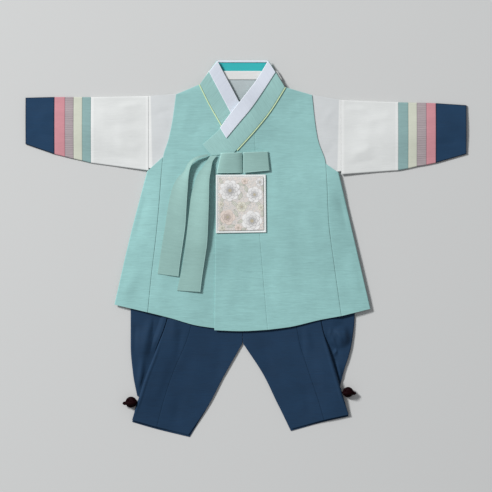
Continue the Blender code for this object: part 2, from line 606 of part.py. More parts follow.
def band_between(inner, outer):
    """A band between two runs that start and end level with each other."""
    return patch((inner[0], outer[0]), (inner[-1], outer[-1]), inner, outer)


def collar_band(side):
    return band_between(COLLAR_INNER[side], COLLAR_OUTER[side])


def strip(side):
    return band_between(STRIP_INNER[side], STRIP_OUTER[side])


def piping(side):
    """A narrow cord of cloth along the outer seam of a collar band."""
    run = COLLAR_OUTER[side]
    v = np.linspace(0.0, PIPING_END[side], 13)
    line = run_along(run, v)
    way = np.gradient(line, axis=0)
    way /= np.linalg.norm(way, axis=1)[:, None]
    normal = np.column_stack((way[:, 1], -way[:, 0])) * MIRROR[side]
    near = tuple(map(tuple, line + normal * LAYER_GAP))
    far = tuple(map(tuple, line + normal * (LAYER_GAP + PIPING_WIDTH)))
    return band_between(near, far)


def ribbon(name, level):
    left, right = RIBBONS[name]

    def rise(u, v, xy):
        whole = 1 - ease(v / RIBBON_ON_EDGE)
        return np.interp(v, *np.transpose(RIBBON_LIFT[name])) * (whole + (1 - whole) * ease(u))
    place = band_between(left, right)
    flat(f"ribbon_{name}", materials["ribbon"], place, level, 4, 18, rise)


materials = {
    "coat": colour("coat", MINT), "collar_back": colour("collar_back", TEAL),
    "piping": colour("piping", PIPING), "strip": colour("strip", STRIP_WHITE),
    "jacket": colour("jacket", WHITE), "sleeve": colour("sleeve", WHITE),
    "band_mint": colour("band_mint", MINT), "band_cream": colour("band_cream", CREAM),
    "band_mauve": colour("band_mauve", MAUVE), "band_pink": colour("band_pink", PINK),
    "cuff": colour("cuff", CUFF_NAVY), "ribbon": colour("ribbon", MINT_TRIM),
    "badge": colour("badge", BADGE), "badge_border": colour("badge_border", WHITE),
    "trousers": colour("trousers", TROUSER_NAVY), "knot": colour("knot", MAROON)}

for side in SIDES:
    trousers(side, 0, "back")
waist = waistband("waistband_back", 0)
on_back = lay(*[leg_outline(side) for side in SIDES], waist)
for side in SIDES:
    trousers(side, on_back, "side")
    knot(side)
lay(*[side_outline(side) for side in SIDES])
on_return = lay(*[return_outline(side) for side in SIDES])
for side in SIDES:
    trousers(side, on_return, "front")
waistband("waistband_front", on_return)
on_trousers = lay(*[leg_outline(side) for side in SIDES], waist)

flat("coat_back", materials["coat"], coat_back(), on_trousers, 14, 17)
on_coat_back = lay(coat_outline())
collar_back = quad(*COLLAR_BACK)
flat("collar_back", materials["collar_back"], collar_back, on_coat_back, 8, 4)
on_collar_back = lay(collar_back, margin=TRIM_MARGIN, ramp=TRIM_RAMP)
(left_x, top_y), (right_x, _) = COLLAR_BACK[:2]
fold_low = top_y - BACK_FOLD_HEIGHT
fold_slant = BACK_FOLD_HEIGHT * BACK_FOLD_SLANT
flat("strip_back", materials["strip"],
     quad((left_x + BACK_FOLD_IN, top_y), (right_x - BACK_FOLD_IN, top_y), (left_x - fold_slant, fold_low),
          (right_x + fold_slant, fold_low)), on_collar_back, 8, 1)
flat("jacket_back", materials["jacket"], jacket_back(), on_collar_back, 12, 11)
on_jacket_back = lay(jacket_back())
facing = quad(*FACING)
flat("jacket_facing", materials["jacket"], facing, on_jacket_back, 8, 2)
on_facing = lay(facing, margin=TRIM_MARGIN, ramp=TRIM_RAMP)
flat("jacket_front_right", materials["jacket"], jacket_front("right"), on_facing, 8, 11)
on_under_front = lay(jacket_front("right"))
flat("jacket_front_left", materials["jacket"], jacket_front("left"), on_under_front, 8, 11)
on_jacket = lay(jacket_front("left"))
for side in SIDES:
    sleeve(side, on_collar_back)

flat("coat_front_right", materials["coat"], coat_front("right"), on_jacket, 9, 17)
coat_side("right", (on_trousers, on_jacket))
on_coat_right = lay(coat_front("right"))
flat("collar_band_right", materials["coat"], collar_band("right"), on_coat_right, 4, 9)
flat("piping_right", materials["piping"], piping("right"), on_coat_right, 1, 8)
on_band_right = lay(collar_band("right"), margin=TRIM_MARGIN, ramp=TRIM_RAMP)
flat("strip_right", materials["strip"], strip("right"), on_band_right, 2, 8)
on_strip_right = lay(strip("right"), margin=TRIM_MARGIN, ramp=TRIM_RAMP)

flat("coat_front_left", materials["coat"], coat_front("left"), on_strip_right, 7, 20)
flat("coat_overlap", materials["coat"], overlap_panel(), on_strip_right, 5, 16)
coat_side("left", (on_trousers, on_strip_right))
on_coat = lay(coat_front("left"), overlap_panel())
flat("collar_band_left", materials["coat"], collar_band("left"), on_coat, 4, 14)
flat("piping_left", materials["piping"], piping("left"), on_coat, 1, 12)
on_band_left = lay(collar_band("left"), margin=TRIM_MARGIN, ramp=TRIM_RAMP)
flat("strip_left", materials["strip"], strip("left"), on_band_left, 2, 10)

badge_backing = quad(*BADGE_OUTLINE)
flat("badge_border", materials["badge_border"], badge_backing, on_band_left, 5, 6)
on_badge = lay(badge_backing, margin=TRIM_MARGIN, ramp=TRIM_RAMP)
inset = BADGE_BORDER
corners = [np.add(point, step) for point, step in zip(
    BADGE_OUTLINE, ((inset, -inset), (-inset, -inset), (inset, inset), (-inset, inset)))]
flat("badge", materials["badge"], quad(*map(tuple, corners)), on_badge, 5, 6)
for name in RIBBONS:
    ribbon(name, on_coat)
flat("bow_wrap", materials["ribbon"], quad(*BOW_WRAP), on_band_left, 4, 4,
     lambda u, v, xy: BOW_LIFT * (1 - (2 * u - 1) ** 4))
loop_left, loop_right = (BOW_LOOP[2], BOW_LOOP[0]), (BOW_LOOP[3], BOW_LOOP[1])
on_loop = lay(quad(*BOW_LOOP))
folded("bow_loop", materials["ribbon"], loop_left, loop_right, BOW_LOOP_RETURN, (on_band_left, on_loop), 3,
       lambda v, xy, on_top: BOW_LOOP_LIFT * np.sin(np.pi * np.clip(on_top, 0.0, 1.0)))
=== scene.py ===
"""A baby boy's hanbok laid out flat: overcoat, jacket, trousers, collar, bow and badge.

Origin: centre of the footprint, on the floor. +Y points to the collar and +X to the wearer's
left. Outlines are in millimetres, and every cloth is laid in the order it lies on the floor.
"""

import bmesh
import bpy
import numpy as np
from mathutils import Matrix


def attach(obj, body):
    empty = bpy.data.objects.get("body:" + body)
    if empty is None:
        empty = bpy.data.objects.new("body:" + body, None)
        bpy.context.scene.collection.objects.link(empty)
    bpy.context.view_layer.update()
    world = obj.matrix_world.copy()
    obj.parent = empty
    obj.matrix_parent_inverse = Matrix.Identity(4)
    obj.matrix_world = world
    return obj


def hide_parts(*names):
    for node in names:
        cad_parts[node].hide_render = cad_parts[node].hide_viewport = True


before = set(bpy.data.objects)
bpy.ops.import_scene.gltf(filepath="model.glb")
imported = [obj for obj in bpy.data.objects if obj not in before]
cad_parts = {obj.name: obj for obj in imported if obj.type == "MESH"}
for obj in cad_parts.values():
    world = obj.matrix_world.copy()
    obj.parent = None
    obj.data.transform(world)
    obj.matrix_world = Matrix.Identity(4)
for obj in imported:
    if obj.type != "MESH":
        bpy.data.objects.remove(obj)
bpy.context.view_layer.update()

# Trouser backs
# The lower wall of each leg, cut from a navy silk blend with a slubbed weft. They are seamed
# up the middle, lie straight on the floor and carry everything else.
MM = 0.001
WALL = 1.1               # cloth with its lining
LAYER_GAP = 0.5          # air between cloths that lie on each other
PITCH = WALL + LAYER_GAP
SEAM_GAP = 0.15          # between pieces sewn edge to edge
DRAPE_MARGIN = 8.0       # a cloth stays up this far past the edge that it lies over
DRAPE_RAMP = 60.0        # and comes down over this length
EDGE_SAMPLES = 7
STRIP_SAMPLES = 40
EDGE_ROUND = 0.15        # how far a turned edge rounds down, and over what length
EDGE_REACH = 0.9
SIDES = ("right", "left")                # the wearer's, so right is at -X
MIRROR = {"right": 1, "left": -1}    # the way to the body's middle along X
TROUSER_NAVY = (0.01, 0.035, 0.0785)
CROTCH = (-5.4, -151)
CROTCH_RUN = 40.0
TROUSER_TOP_Y = 58.0
BACK_HEM_DROP = 4.0
BACK_HEM_IN = 3.0
SIDE_HIDDEN = 12.0       # width of the side panel under the outer front
RETURN_SHARE = 0.8       # how far a side panel wraps back underneath, as a share of its width on top
BACK_SEAM_SHARE = 0.06
LEG_INNER = {"right": ((-90.5, -301.7), (-57.7, -246.8), (-38.5, -209.5), (-8.2, -155.7), (-5.6, -151)),
             "left": ((71.9, -292.1), (54.3, -255.6), (27.9, -201.8), (-2.4, -155.1), (-5, -151))}
LEG_SEAM = {"right": ((-143, -289), (-131, -240.2), (-114.2, -191.8), (-95.1, -147.4), (-87, -118),
                      (-78, -60), (-66, 58)),
            "left": ((125, -277.5), (114.9, -240.2), (99.1, -193.8), (85.9, -151), (80, -120),
                     (68, -60), (58, 58))}
LEG_RIDGE = {"right": ((-182.5, -277.7), (-172.3, -240.4), (-161.5, -206), (-144.1, -162),
                       (-127.5, -118), (-112, -50), (-96, 58)),
             "left": ((164.6, -268.8), (158.3, -245.2), (147.9, -210), (135.5, -168),
                      (123.6, -132), (110, -60), (90, 58))}
LEG_SIDE = {"right": ((-174.5, -236), (-180.9, -202), (-184.9, -155), (-184.9, -99.6), (-165, -20),
                      (-125, 58)),
            "left": ((151, -219.5), (158.2, -191.8), (164.6, -172.7), (169.5, -152), (174.3, -106),
                     (158, -20), (118, 58))}


def run_along(points, share):
    """Points at the given shares of a smooth run's length, with no overshoot at its corners."""
    points = np.array(points, float)
    steps = np.linalg.norm(np.diff(points, axis=0), axis=1)
    knots = np.concatenate(([0.0], np.cumsum(steps)))
    rates = np.diff(points, axis=0) / steps[:, None]
    product = rates[:-1] * rates[1:]
    total = np.where(product > 0, rates[:-1] + rates[1:], 1.0)
    middle = np.where(product > 0, 2 * product / total, 0.0)
    slopes = np.concatenate((rates[:1], middle, rates[-1:]))
    place = np.clip(share, 0.0, 1.0) * knots[-1]
    cell = np.clip(np.searchsorted(knots, place, side="right") - 1, 0, len(steps) - 1)
    length = steps[cell][:, None]
    t = (place - knots[cell])[:, None] / length
    near, far = points[cell], points[cell + 1]
    return ((2 * t ** 3 - 3 * t ** 2 + 1) * near + (t ** 3 - 2 * t ** 2 + t) * length * slopes[cell]
            + (3 * t ** 2 - 2 * t ** 3) * far + (t ** 3 - t ** 2) * length * slopes[cell + 1])


def patch(low, high, left, right):
    """A four-sided outline as a function of u (left to right) and v (low to high)."""
    def place(u, v):
        across = (1 - v)[:, None] * run_along(low, u) + v[:, None] * run_along(high, u)
        along = (1 - u)[:, None] * run_along(left, v) + u[:, None] * run_along(right, v)
        corners = [np.array(point, float) for point in (low[0], low[-1], high[0], high[-1])]
        weights = ((1 - u) * (1 - v), u * (1 - v), (1 - u) * v, u * v)
        return across + along - sum(w[:, None] * corner for w, corner in zip(weights, corners))
    return place


def ease(share):
    """A share from 0 to 1 that starts and ends gently."""
    share = np.clip(share, 0.0, 1.0)
    return share ** 2 * (3 - 2 * share)


def shifted(points, dx, dy=0.0):
    return tuple((x + dx, y + dy) for x, y in points)


def as_run(points):
    return tuple(map(tuple, points))


def between(first, second, share, count=6):
    """A run of points that lies a share of the way from one run to another."""
    v = np.linspace(0, 1, count)
    return as_run(run_along(first, v) * (1 - share) + run_along(second, v) * share)


def outline_of(place):
    """The closed outline of a patch, as points."""
    share = np.arange(EDGE_SAMPLES) / EDGE_SAMPLES
    zero = np.zeros(EDGE_SAMPLES)
    return np.concatenate([place(share, zero), place(zero + 1, share),
                           place(1 - share, zero + 1), place(zero, 1 - share)])


def cover(outline, xy, margin, ramp):
    """1 inside an outline, falling to 0 over a ramp outside it."""
    start, end = outline, np.roll(outline, -1, axis=0)
    edge = end - start
    offset = xy[:, None, :] - start[None]
    share = np.clip((offset * edge).sum(2) / np.maximum((edge ** 2).sum(1), 1e-9), 0, 1)
    distance = np.linalg.norm(offset - share[..., None] * edge, axis=2).min(1)
    crosses = (start[:, 1] > xy[:, None, 1]) != (end[:, 1] > xy[:, None, 1])
    rise = np.where(edge[:, 1] == 0, 1e-9, edge[:, 1])
    at_x = start[:, 0] + (xy[:, None, 1] - start[:, 1]) * edge[:, 0] / rise
    inside = (crosses & (xy[:, None, 0] < at_x)).sum(1) % 2 == 1
    return 1 - ease((np.where(inside, 0.0, distance) - margin) / ramp)


layers = []              # (outlines, margin, ramp) of each cloth laid so far, from the floor up


def lay(*places, margin=DRAPE_MARGIN, ramp=DRAPE_RAMP):
    """Adds a cloth's patches to the pile, and returns how many cloths the next one lies on."""
    layers.append(([outline_of(place) for place in places], margin, ramp))
    return len(layers)


def pile(xy, below):
    """Height of the underside of a cloth that lies on the first so many cloths."""
    height = np.zeros(len(xy))
    for outlines, margin, ramp in layers[:below]:
        height += PITCH * np.max([cover(outline, xy, margin, ramp) for outline in outlines], axis=0)
    return height


CREASE_BOW = 0.25        # how far a crease bows aside, as a share of its width, and how often
CREASE_WAVE = 3.1
CREASE_END = 3           # it fades over one part in so many of its length at each end


def creases(xy, table):
    """Height of soft ridges, and of troughs where it is negative, along lines on a cloth.

    Each row of the table is X, Y at the two ends, the width and the height in the middle.
    """
    height = np.zeros(len(xy))
    for x0, y0, x1, y1, width, top in table:
        start, way = np.array((x0, y0)), np.array((x1 - x0, y1 - y0))
        share = ((xy - start) @ way) / (way @ way)
        bow = CREASE_BOW * width * np.sin(CREASE_WAVE * share + x0)
        side = (xy - start) @ np.array((way[1], -way[0])) / np.linalg.norm(way) - bow
        ends = ease(share * CREASE_END) * ease((1 - share) * CREASE_END)
        height += top * np.exp(-(side / width) ** 2) * ends
    return height


CROWD = (0.12, 0.12)     # how much a mesh's rows draw together near its edges
WELD = 0.005             # a tube's seam is welded within this distance
TINY = 1e-6              # for comparing shares
SHARP_ANGLE = 1.0
EDGE_TURN = 0.3          # radius of a turned edge, its steps and the corner angle that it needs
TURN_STEPS = 2
TURN_ANGLE = 0.9


def shares(mesh):
    """How far across and along its cloth each point of a mesh is."""
    return [np.array([item.value for item in mesh.attributes[key].data]) for key in "uv"]


def made_of(bm, name, material, run=None):
    """An object from a mesh, woven along X and Y, or along the strip that run gives."""
    mesh = bpy.data.meshes.new(name)
    bm.to_mesh(mesh)
    bm.free()
    mesh.shade_smooth()
    mesh.materials.append(material)
    weave = np.array([vert.co[:2] for vert in mesh.vertices])
    if run:
        u, v = shares(mesh)
        weave = np.column_stack(((u - 0.5) * run[0](v), v * run[1])) * MM
    corners = np.zeros(len(mesh.loops), int)
    mesh.loops.foreach_get("vertex_index", corners)
    mesh.uv_layers.new(name="weave").data.foreach_set("uv", weave[corners].ravel())
    piece = bpy.data.objects.new(name, mesh)
    bpy.context.collection.objects.link(piece)
    return piece


def cloth(name, material, outer, inner, across, along, closed=False, crowd=CROWD, run=None):
    """A wall of cloth between two surfaces, each a function of u across and v along the piece.

    crowd draws the mesh's rows together near the edges. run is the width along a strip, a
    function of v, and its length, for a weave that follows the strip.
    """
    bm = bmesh.new()
    u_layer = bm.verts.layers.float.new("u")
    v_layer = bm.verts.layers.float.new("v")
    bmesh.ops.create_grid(bm, x_segments=across, y_segments=along, size=0.5)
    for vert in bm.verts:
        u, v = vert.co.x + 0.5, vert.co.y + 0.5
        vert[u_layer] = u - crowd[0] * np.sin(2 * np.pi * u)
        vert[v_layer] = v - crowd[1] * np.sin(2 * np.pi * v)

    def put(verts, surface):
        u = np.array([vert[u_layer] for vert in verts])
        v = np.array([vert[v_layer] for vert in verts])
        points = surface(u, v) * MM
        for vert, point in zip(verts, points):
            vert.co = point
        return points, np.lexsort((u, v))

    points, order = put(list(bm.verts), outer)
    if closed:
        bmesh.ops.remove_doubles(bm, verts=bm.verts, dist=WELD * MM)
    turned = bmesh.ops.extrude_face_region(bm, geom=bm.faces[:])["geom"]
    put([item for item in turned if isinstance(item, bmesh.types.BMVert)], inner)
    bmesh.ops.recalc_face_normals(bm, faces=bm.faces)
    if bm.calc_volume(signed=True) < 0:
        bmesh.ops.reverse_faces(bm, faces=bm.faces)
    piece = made_of(bm, name, material, run)
    piece.data.set_sharp_from_angle(angle=SHARP_ANGLE)
    return piece


def width_at(place, v):
    return np.linalg.norm(place(np.ones_like(v), v) - place(np.zeros_like(v), v), axis=1)


def run_length(points):
    return np.linalg.norm(np.diff(np.array(points, float), axis=0), axis=1).sum()


def edge_gap(place, u, v):
    """Distance from a patch's nearest edge."""
    width = width_at(place, v)
    length = np.linalg.norm(place(u, np.ones_like(u)) - place(u, np.zeros_like(u)), axis=1)
    return np.minimum(np.minimum(u, 1 - u) * width, np.minimum(v, 1 - v) * length)


def flat(name, material, place, below, across, along, lift=None, table=(), strip=False, gap=None,
         crowd=CROWD):
    """A cloth that lies on the pile, raised where lift says, a function of u, v and place.

    gap is a function of u and v that gives the distance from the edges that are marked, where
    those aren't all of them.
    """
    def inner(u, v):
        xy = place(u, v)
        rise = lift(u, v, xy) if lift else 0.0
        return np.column_stack((xy, pile(xy, below) + rise + creases(xy, table)))

    def outer(u, v):
        wall = WALL - EDGE_ROUND * np.exp(-edge_gap(place, u, v) / EDGE_REACH)
        return inner(u, v) + np.column_stack((np.zeros((len(u), 2)), wall))

    run = None
    if strip:
        middle = place(np.full(STRIP_SAMPLES, 0.5), np.linspace(0, 1, STRIP_SAMPLES))
        run = (lambda v: width_at(place, v), run_length(middle))
    piece = cloth(name, material, outer, inner, across, along, crowd=crowd, run=run)
    mark_edges(piece.data, gap or (lambda u, v: edge_gap(place, u, v)))
    return piece


def mark_edges(mesh, gap):
    """Keeps each point's distance from the cloth's edge in millimetres, for the finish."""
    mesh.attributes.new("edge", "FLOAT", "POINT").data.foreach_set("value", gap(*shares(mesh)))


def node(tree, kind, inputs=None, **settings):
    """A shader node with its settings, and its inputs set to values or linked to outputs."""
    made = tree.nodes.new(kind)
    for key, value in settings.items():
        setattr(made, key, value)
    for key, value in (inputs or {}).items():
        if isinstance(value, bpy.types.NodeSocket):
            tree.links.new(value, made.inputs[key])
        else:
            made.inputs[key].default_value = value
    return made


def math(tree, operation, first, second=0.0):
    return node(tree, "ShaderNodeMath", {0: first, 1: second}, operation=operation).outputs[0]


def group(name, inputs, outputs):
    """An empty node group, its input node and its output node."""
    tree = bpy.data.node_groups.new(name, "ShaderNodeTree")
    for way, sockets in (("INPUT", inputs), ("OUTPUT", outputs)):
        for socket, kind in sockets.items():
            tree.interface.new_socket(name=socket, in_out=way, socket_type="NodeSocket" + kind)
    return tree, tree.nodes.new("NodeGroupInput").outputs, tree.nodes.new("NodeGroupOutput").inputs


THREAD_SHARE = 0.5       # weight of the fine threads and of the warp beside the slubs
WARP_SHARE = 0.12
RIB_RELIEF = 40.0        # height of the ribs for their tone
WEAVE_ROUGHNESS = 0.78
SLUB_ROUGHNESS = 0.05
EDGE_BAND = (0.7, 1.2)   # the edge's tone fades between these shares of its reach


def slub_weave():
    """A woven cloth: thick and thin weft threads, uneven dye, and an edge of another tone, which on the
    ribbons is a painted highlight.
    """
    tree, given, result = group(
        "slub weave",
        {"Weave": "Vector", "Colour": "Color", "Edge Colour": "Color", "Edge Distance": "Float",
         "Edge Reach": "Float", "Slub": "Float", "Mottle": "Float", "Rib": "Float", "Rib Pitch": "Float"},
        {"Colour": "Color", "Height": "Float", "Roughness": "Float"})

    def times(first, second):
        return math(tree, "MULTIPLY", first, second)

    def plus(first, second):
        return math(tree, "ADD", first, second)

    def streaks(along, across, detail, waver=0.0):
        mapped = node(tree, "ShaderNodeMapping", {"Vector": given["Weave"], "Scale": (along, across, 1.0)})
        noise = node(tree, "ShaderNodeTexNoise", {"Vector": mapped.outputs[0], "Scale": 1.0, "Detail": detail,
                                                  "Roughness": 0.55, "Distortion": waver})
        spread = {"From Min": 0.3, "From Max": 0.7, "To Min": -1.0, "To Max": 1.0}
        return node(tree, "ShaderNodeMapRange", {"Value": noise.outputs["Fac"], **spread}).outputs[0]

    threads = streaks(110.0, 2400.0, 1.0)
    slubs = streaks(32.0, 430.0, 2.0, 1.6)
    warp = streaks(2100.0, 12.0, 1.0)
    dye = streaks(26.0, 34.0, 4.0)
    place = node(tree, "ShaderNodeSeparateXYZ", {0: given["Weave"]})
    turn = math(tree, "DIVIDE", times(place.outputs["Y"], 2 * np.pi), given["Rib Pitch"])
    rib = times(math(tree, "SINE", turn), given["Rib"])
    weft = plus(times(warp, WARP_SHARE), plus(times(threads, THREAD_SHARE), slubs))
    tone = plus(times(weft, given["Slub"]), times(dye, given["Mottle"]))
    tone = plus(plus(tone, rib), 1.0)
    past = math(tree, "DIVIDE", given["Edge Distance"], given["Edge Reach"])
    near = node(tree, "ShaderNodeMapRange", {
        "Value": past, "From Min": EDGE_BAND[0], "From Max": EDGE_BAND[1], "To Min": 1.0,
        "To Max": 0.0}, interpolation_type="SMOOTHSTEP").outputs[0]
    edge_tone_and_highlight = node(tree, "ShaderNodeMix", {0: near, 6: given["Colour"], 7: given["Edge Colour"]},
                data_type="RGBA")
    shaded = node(tree, "ShaderNodeVectorMath", {0: edge_tone_and_highlight.outputs[2], "Scale": tone}, operation="SCALE")
    tree.links.new(shaded.outputs[0], result["Colour"])
    tree.links.new(plus(weft, times(rib, RIB_RELIEF)), result["Height"])
    tree.links.new(plus(times(slubs, SLUB_ROUGHNESS), WEAVE_ROUGHNESS), result["Roughness"])
    return tree


SLUB_WEAVE = slub_weave()


def woven(name, colour, edge=None, reach=0.8, slub=0.03, mottle=0.03, rib=0.0, pitch=0.002, bump=0.00005,
          sheen=0.1, gloss=0.3, roughness=None):
    """A woven cloth's material; edge is the colour at its edges, and reach how far that runs in mm."""
    material = bpy.data.materials.new(name)
    material.use_nodes = True
    tree = material.node_tree
    shader = tree.nodes["Principled BSDF"]
    weave = node(tree, "ShaderNodeUVMap", uv_map="weave")
    distance = node(tree, "ShaderNodeAttribute", attribute_name="edge")
    threads = node(tree, "ShaderNodeGroup", node_tree=SLUB_WEAVE)
    values = {"Colour": (*colour, 1.0), "Edge Colour": (*(edge or colour), 1.0), "Edge Reach": reach,
              "Slub": slub, "Mottle": mottle, "Rib": rib, "Rib Pitch": pitch}
    for key, value in values.items():
        threads.inputs[key].default_value = value
    tree.links.new(weave.outputs[0], threads.inputs["Weave"])
    tree.links.new(distance.outputs["Fac"], threads.inputs["Edge Distance"])
    relief = node(tree, "ShaderNodeBump", {"Height": threads.outputs["Height"], "Distance": bump})
    tree.links.new(threads.outputs["Colour"], shader.inputs["Base Color"])
    if roughness is None:
        tree.links.new(threads.outputs["Roughness"], shader.inputs["Roughness"])
    else:
        shader.inputs["Roughness"].default_value = roughness
    tree.links.new(relief.outputs[0], shader.inputs["Normal"])
    shader.inputs["Sheen Weight"].default_value = sheen
    shader.inputs["Sheen Roughness"].default_value = 0.5
    shader.inputs["Specular IOR Level"].default_value = gloss
    return material


def fit(piece, slot, turn=EDGE_TURN):
    """Rounds a piece's cut edges, hides its solid in its stead and hangs it on the root body.

    A piece has its solid's name with one word more.
    """
    if turn:
        bevel = piece.modifiers.new("turned edge", "BEVEL")
        bevel.width = turn * MM
        bevel.segments = TURN_STEPS
        bevel.limit_method = "ANGLE"
        bevel.angle_limit = TURN_ANGLE
    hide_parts(piece.name.rsplit("_", 1)[0])
    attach(piece, "root")


def leg_parts(side):
    """The runs that bound one leg's pieces, all from the ankle to the waist."""
    inward = MIRROR[side]
    ridge = LEG_RIDGE[side]
    side_seam = shifted(ridge[1:], inward * SIDE_HIDDEN)
    side_back = between(LEG_SIDE[side], side_seam, RETURN_SHARE + BACK_SEAM_SHARE)
    back_edge = (ridge[0], *shifted(ridge[1:2], 0.0, -BACK_HEM_DROP),
                 *shifted(side_back[:1], inward * BACK_HEM_IN, -BACK_HEM_DROP),
                 *shifted(side_back[1:], inward * LAYER_GAP))
    middle_x = CROTCH[0] - inward * SEAM_GAP / 2
    inner = (*LEG_INNER[side], (middle_x, CROTCH[1] + CROTCH_RUN), (middle_x, TROUSER_TOP_Y))
    return {"ridge": ridge, "side_seam": side_seam, "back_edge": back_edge, "inner": inner,
            "outer": (*ridge[:2], *LEG_SIDE[side][1:])}


def band_between(inner, outer):
    """A band between two runs that start and end level with each other."""
    return patch((inner[0], outer[0]), (inner[-1], outer[-1]), inner, outer)


LEGS = {side: leg_parts(side) for side in SIDES}
navy = woven("trouser silk", TROUSER_NAVY, slub=0.07, mottle=0.07, sheen=0.03, gloss=0.2)
for side in SIDES:
    parts = LEGS[side]
    place = patch((parts["back_edge"][0], LEG_SEAM[side][0], parts["inner"][0]),
                  (parts["back_edge"][-1], parts["inner"][-1]), parts["back_edge"], parts["inner"])
    piece = flat(f"trousers_back_{side}_cloth", navy, place, 0, 24, 60)
    fit(piece, "trousers")

# Waistband, back half
# A straight band of the same navy cloth along the top of the trousers, hidden by the coat.
WAISTBAND_TOP_Y = 88.0
WAIST_X = {"right": -125, "left": 118}


def quad(high_left, high_right, low_left, low_right):
    """A straight-sided patch from its four corners."""
    return patch((low_left, low_right), (high_left, high_right), (low_left, high_left),
                 (low_right, high_right))


waist = quad((WAIST_X["right"], WAISTBAND_TOP_Y), (WAIST_X["left"], WAISTBAND_TOP_Y),
             (WAIST_X["right"], TROUSER_TOP_Y + SEAM_GAP), (WAIST_X["left"], TROUSER_TOP_Y + SEAM_GAP))
piece = flat("waistband_back_cloth", navy, waist, 0, 60, 8)
fit(piece, "trousers")
whole_legs = [band_between(parts["outer"], parts["inner"]) for parts in LEGS.values()]
on_back = lay(*whole_legs, waist)

# Trouser side panels
# A panel of each leg runs out from under the front, round the leg's outer fold and back
# underneath. It billows where the leg is gathered at the ankle.
SIDE_LIFT = 1.5          # how far the side panel billows, at these shares of the leg and of its width
SIDE_RISE = (0.15, 0.27, 0.42)
SIDE_FLAT_SHARE = 0.32
PUFF_CENTRE = {"right": (-168, -150), "left": (148.5, -141)}
PUFF_RADIUS = {"right": 26, "left": 22}
PUFF_HEIGHT = {"right": 2.5, "left": 8.5}
PANEL_COUNTS = (96, 14, 20)    # mesh rows on top, round the fold and underneath
FOLD_CALM = 4            # creases fade over the last one in so many parts of the way to a fold
RIDGE_SAMPLES = 160
SHELF_HEIGHT = 3.4       # the cloth runs on level past the ridge near the coat, above this Y
SHELF_Y = {"right": -172, "left": -150}
SHELF_RUN = {"right": 34, "left": 16}
SHELF_WIDTH = {"right": (5, 9), "left": (16, 22)}    # full this far out, gone over the second length
SIDE_STEEP = 1.5         # how fast a side panel's billow rises across its width
CLEAR = (0.2, 0.9)       # the shelf starts this far past the ridge, and rises over the second length
FOLDS_CLEAR = (1, 4)     # and so do the folds
PANEL_FOLDS = {
    "right": ((-139, -96, -152.5, -150, 5, -1.4), (-152, -104, -165, -190, 8, 2.6),
              (-166, -170, -172.5, -228, 4.5, 1.7), (-176, -118, -178, -172, 4, -0.9),
              (-160, -196, -167, -226, 2.6, -0.8)),
    "left": ((137, -127, 132.5, -146, 3, 1.5), (138.5, -169, 147, -162, 2.6, 2.6),
             (139.5, -148, 150, -140, 8, -3.4), (134, -152, 137, -168, 3.6, -3.2),
             (158, -122, 163, -158, 4.5, 1.6), (146, -178, 153, -212, 3.6, 1.8))}


def swell(share, rise):
    """1 between the first two shares given, 0 at the start and after the third."""
    full, sinking, flat_again = rise
    return ease(share / full) * ease((flat_again - share) / (flat_again - sinking))


def folded(name, material, seam, fold, under_share, levels, along, lift=None, counts=(24, 12, 16), table=()):
    """A cloth that runs on top from a seam to a fold, round it, and back underneath.

    seam and fold are runs of points; under_share is how far back it returns, as a share of the top.
    levels are the pile counts of the wall underneath and of the wall on top. lift is a function of
    v and place that raises the top wall. counts are the mesh rows on top, round the fold and under.
    """
    top_share, turn_share = counts[0] / sum(counts), counts[1] / sum(counts)

    def surface(inset):
        def points(u, v):
            seam_xy = run_along(seam, v)
            fold_xy = run_along(fold, v)
            way = fold_xy - seam_xy
            width = np.linalg.norm(way, axis=1)[:, None]
            way = way / width
            low_edge = pile(fold_xy, levels[0])
            high_edge = pile(fold_xy, levels[1]) + (lift(v, fold_xy, 1.0) if lift else 0.0)
            radius = (high_edge + WALL - low_edge) / 2
            centre = fold_xy - way * radius[:, None]
            on_top = np.clip(u / top_share, 0, 1)
            turn = np.clip((u - top_share) / turn_share, 0, 1)
            under = np.clip((u - top_share - turn_share) / (1 - top_share - turn_share), 0, 1)
            top_xy = seam_xy + (centre - seam_xy) * on_top[:, None]
            top_z = pile(top_xy, levels[1]) + (lift(v, top_xy, on_top) if lift else 0.0)
            top_z += ease(on_top) * (high_edge - pile(centre, levels[1])
                                     - (lift(v, centre, 1.0) if lift else 0.0))
            top_z += creases(top_xy, table) * ease((1 - on_top) * FOLD_CALM)
            under_xy = centre - way * width * (under_share * under)[:, None]
            under_z = pile(under_xy, levels[0]) + (1 - ease(under)) * (low_edge - pile(centre, levels[0]))
            angle = np.pi * (0.5 - turn)
            turn_xy = centre + way * ((radius - inset) * np.cos(angle))[:, None]
            turn_z = low_edge + radius + (radius - inset) * np.sin(angle)
            top = u < top_share + TINY
            bottom = u > top_share + turn_share - TINY
            xy = np.where(top[:, None], top_xy, np.where(bottom[:, None], under_xy, turn_xy))
            seam_gap = on_top * width[:, 0]
            top_wall = WALL - inset - (inset == 0.0) * EDGE_ROUND * np.exp(-seam_gap / EDGE_REACH)
            z = np.where(top, top_z + top_wall, np.where(bottom, under_z + inset, turn_z))
            return np.column_stack((xy, z))
        return points
    piece = cloth(name, material, surface(0.0), surface(WALL), sum(counts), along, crowd=(0.0, CROWD[1]))

    def gap(u, v):
        width = np.linalg.norm(run_along(fold, v) - run_along(seam, v), axis=1)
        side = np.minimum(np.clip(u / top_share, 0, 1), (1 - u) / (1 - top_share)) * width
        return np.minimum(side, np.minimum(v, 1 - v) * run_length(fold))
    mark_edges(piece.data, gap)
    return piece


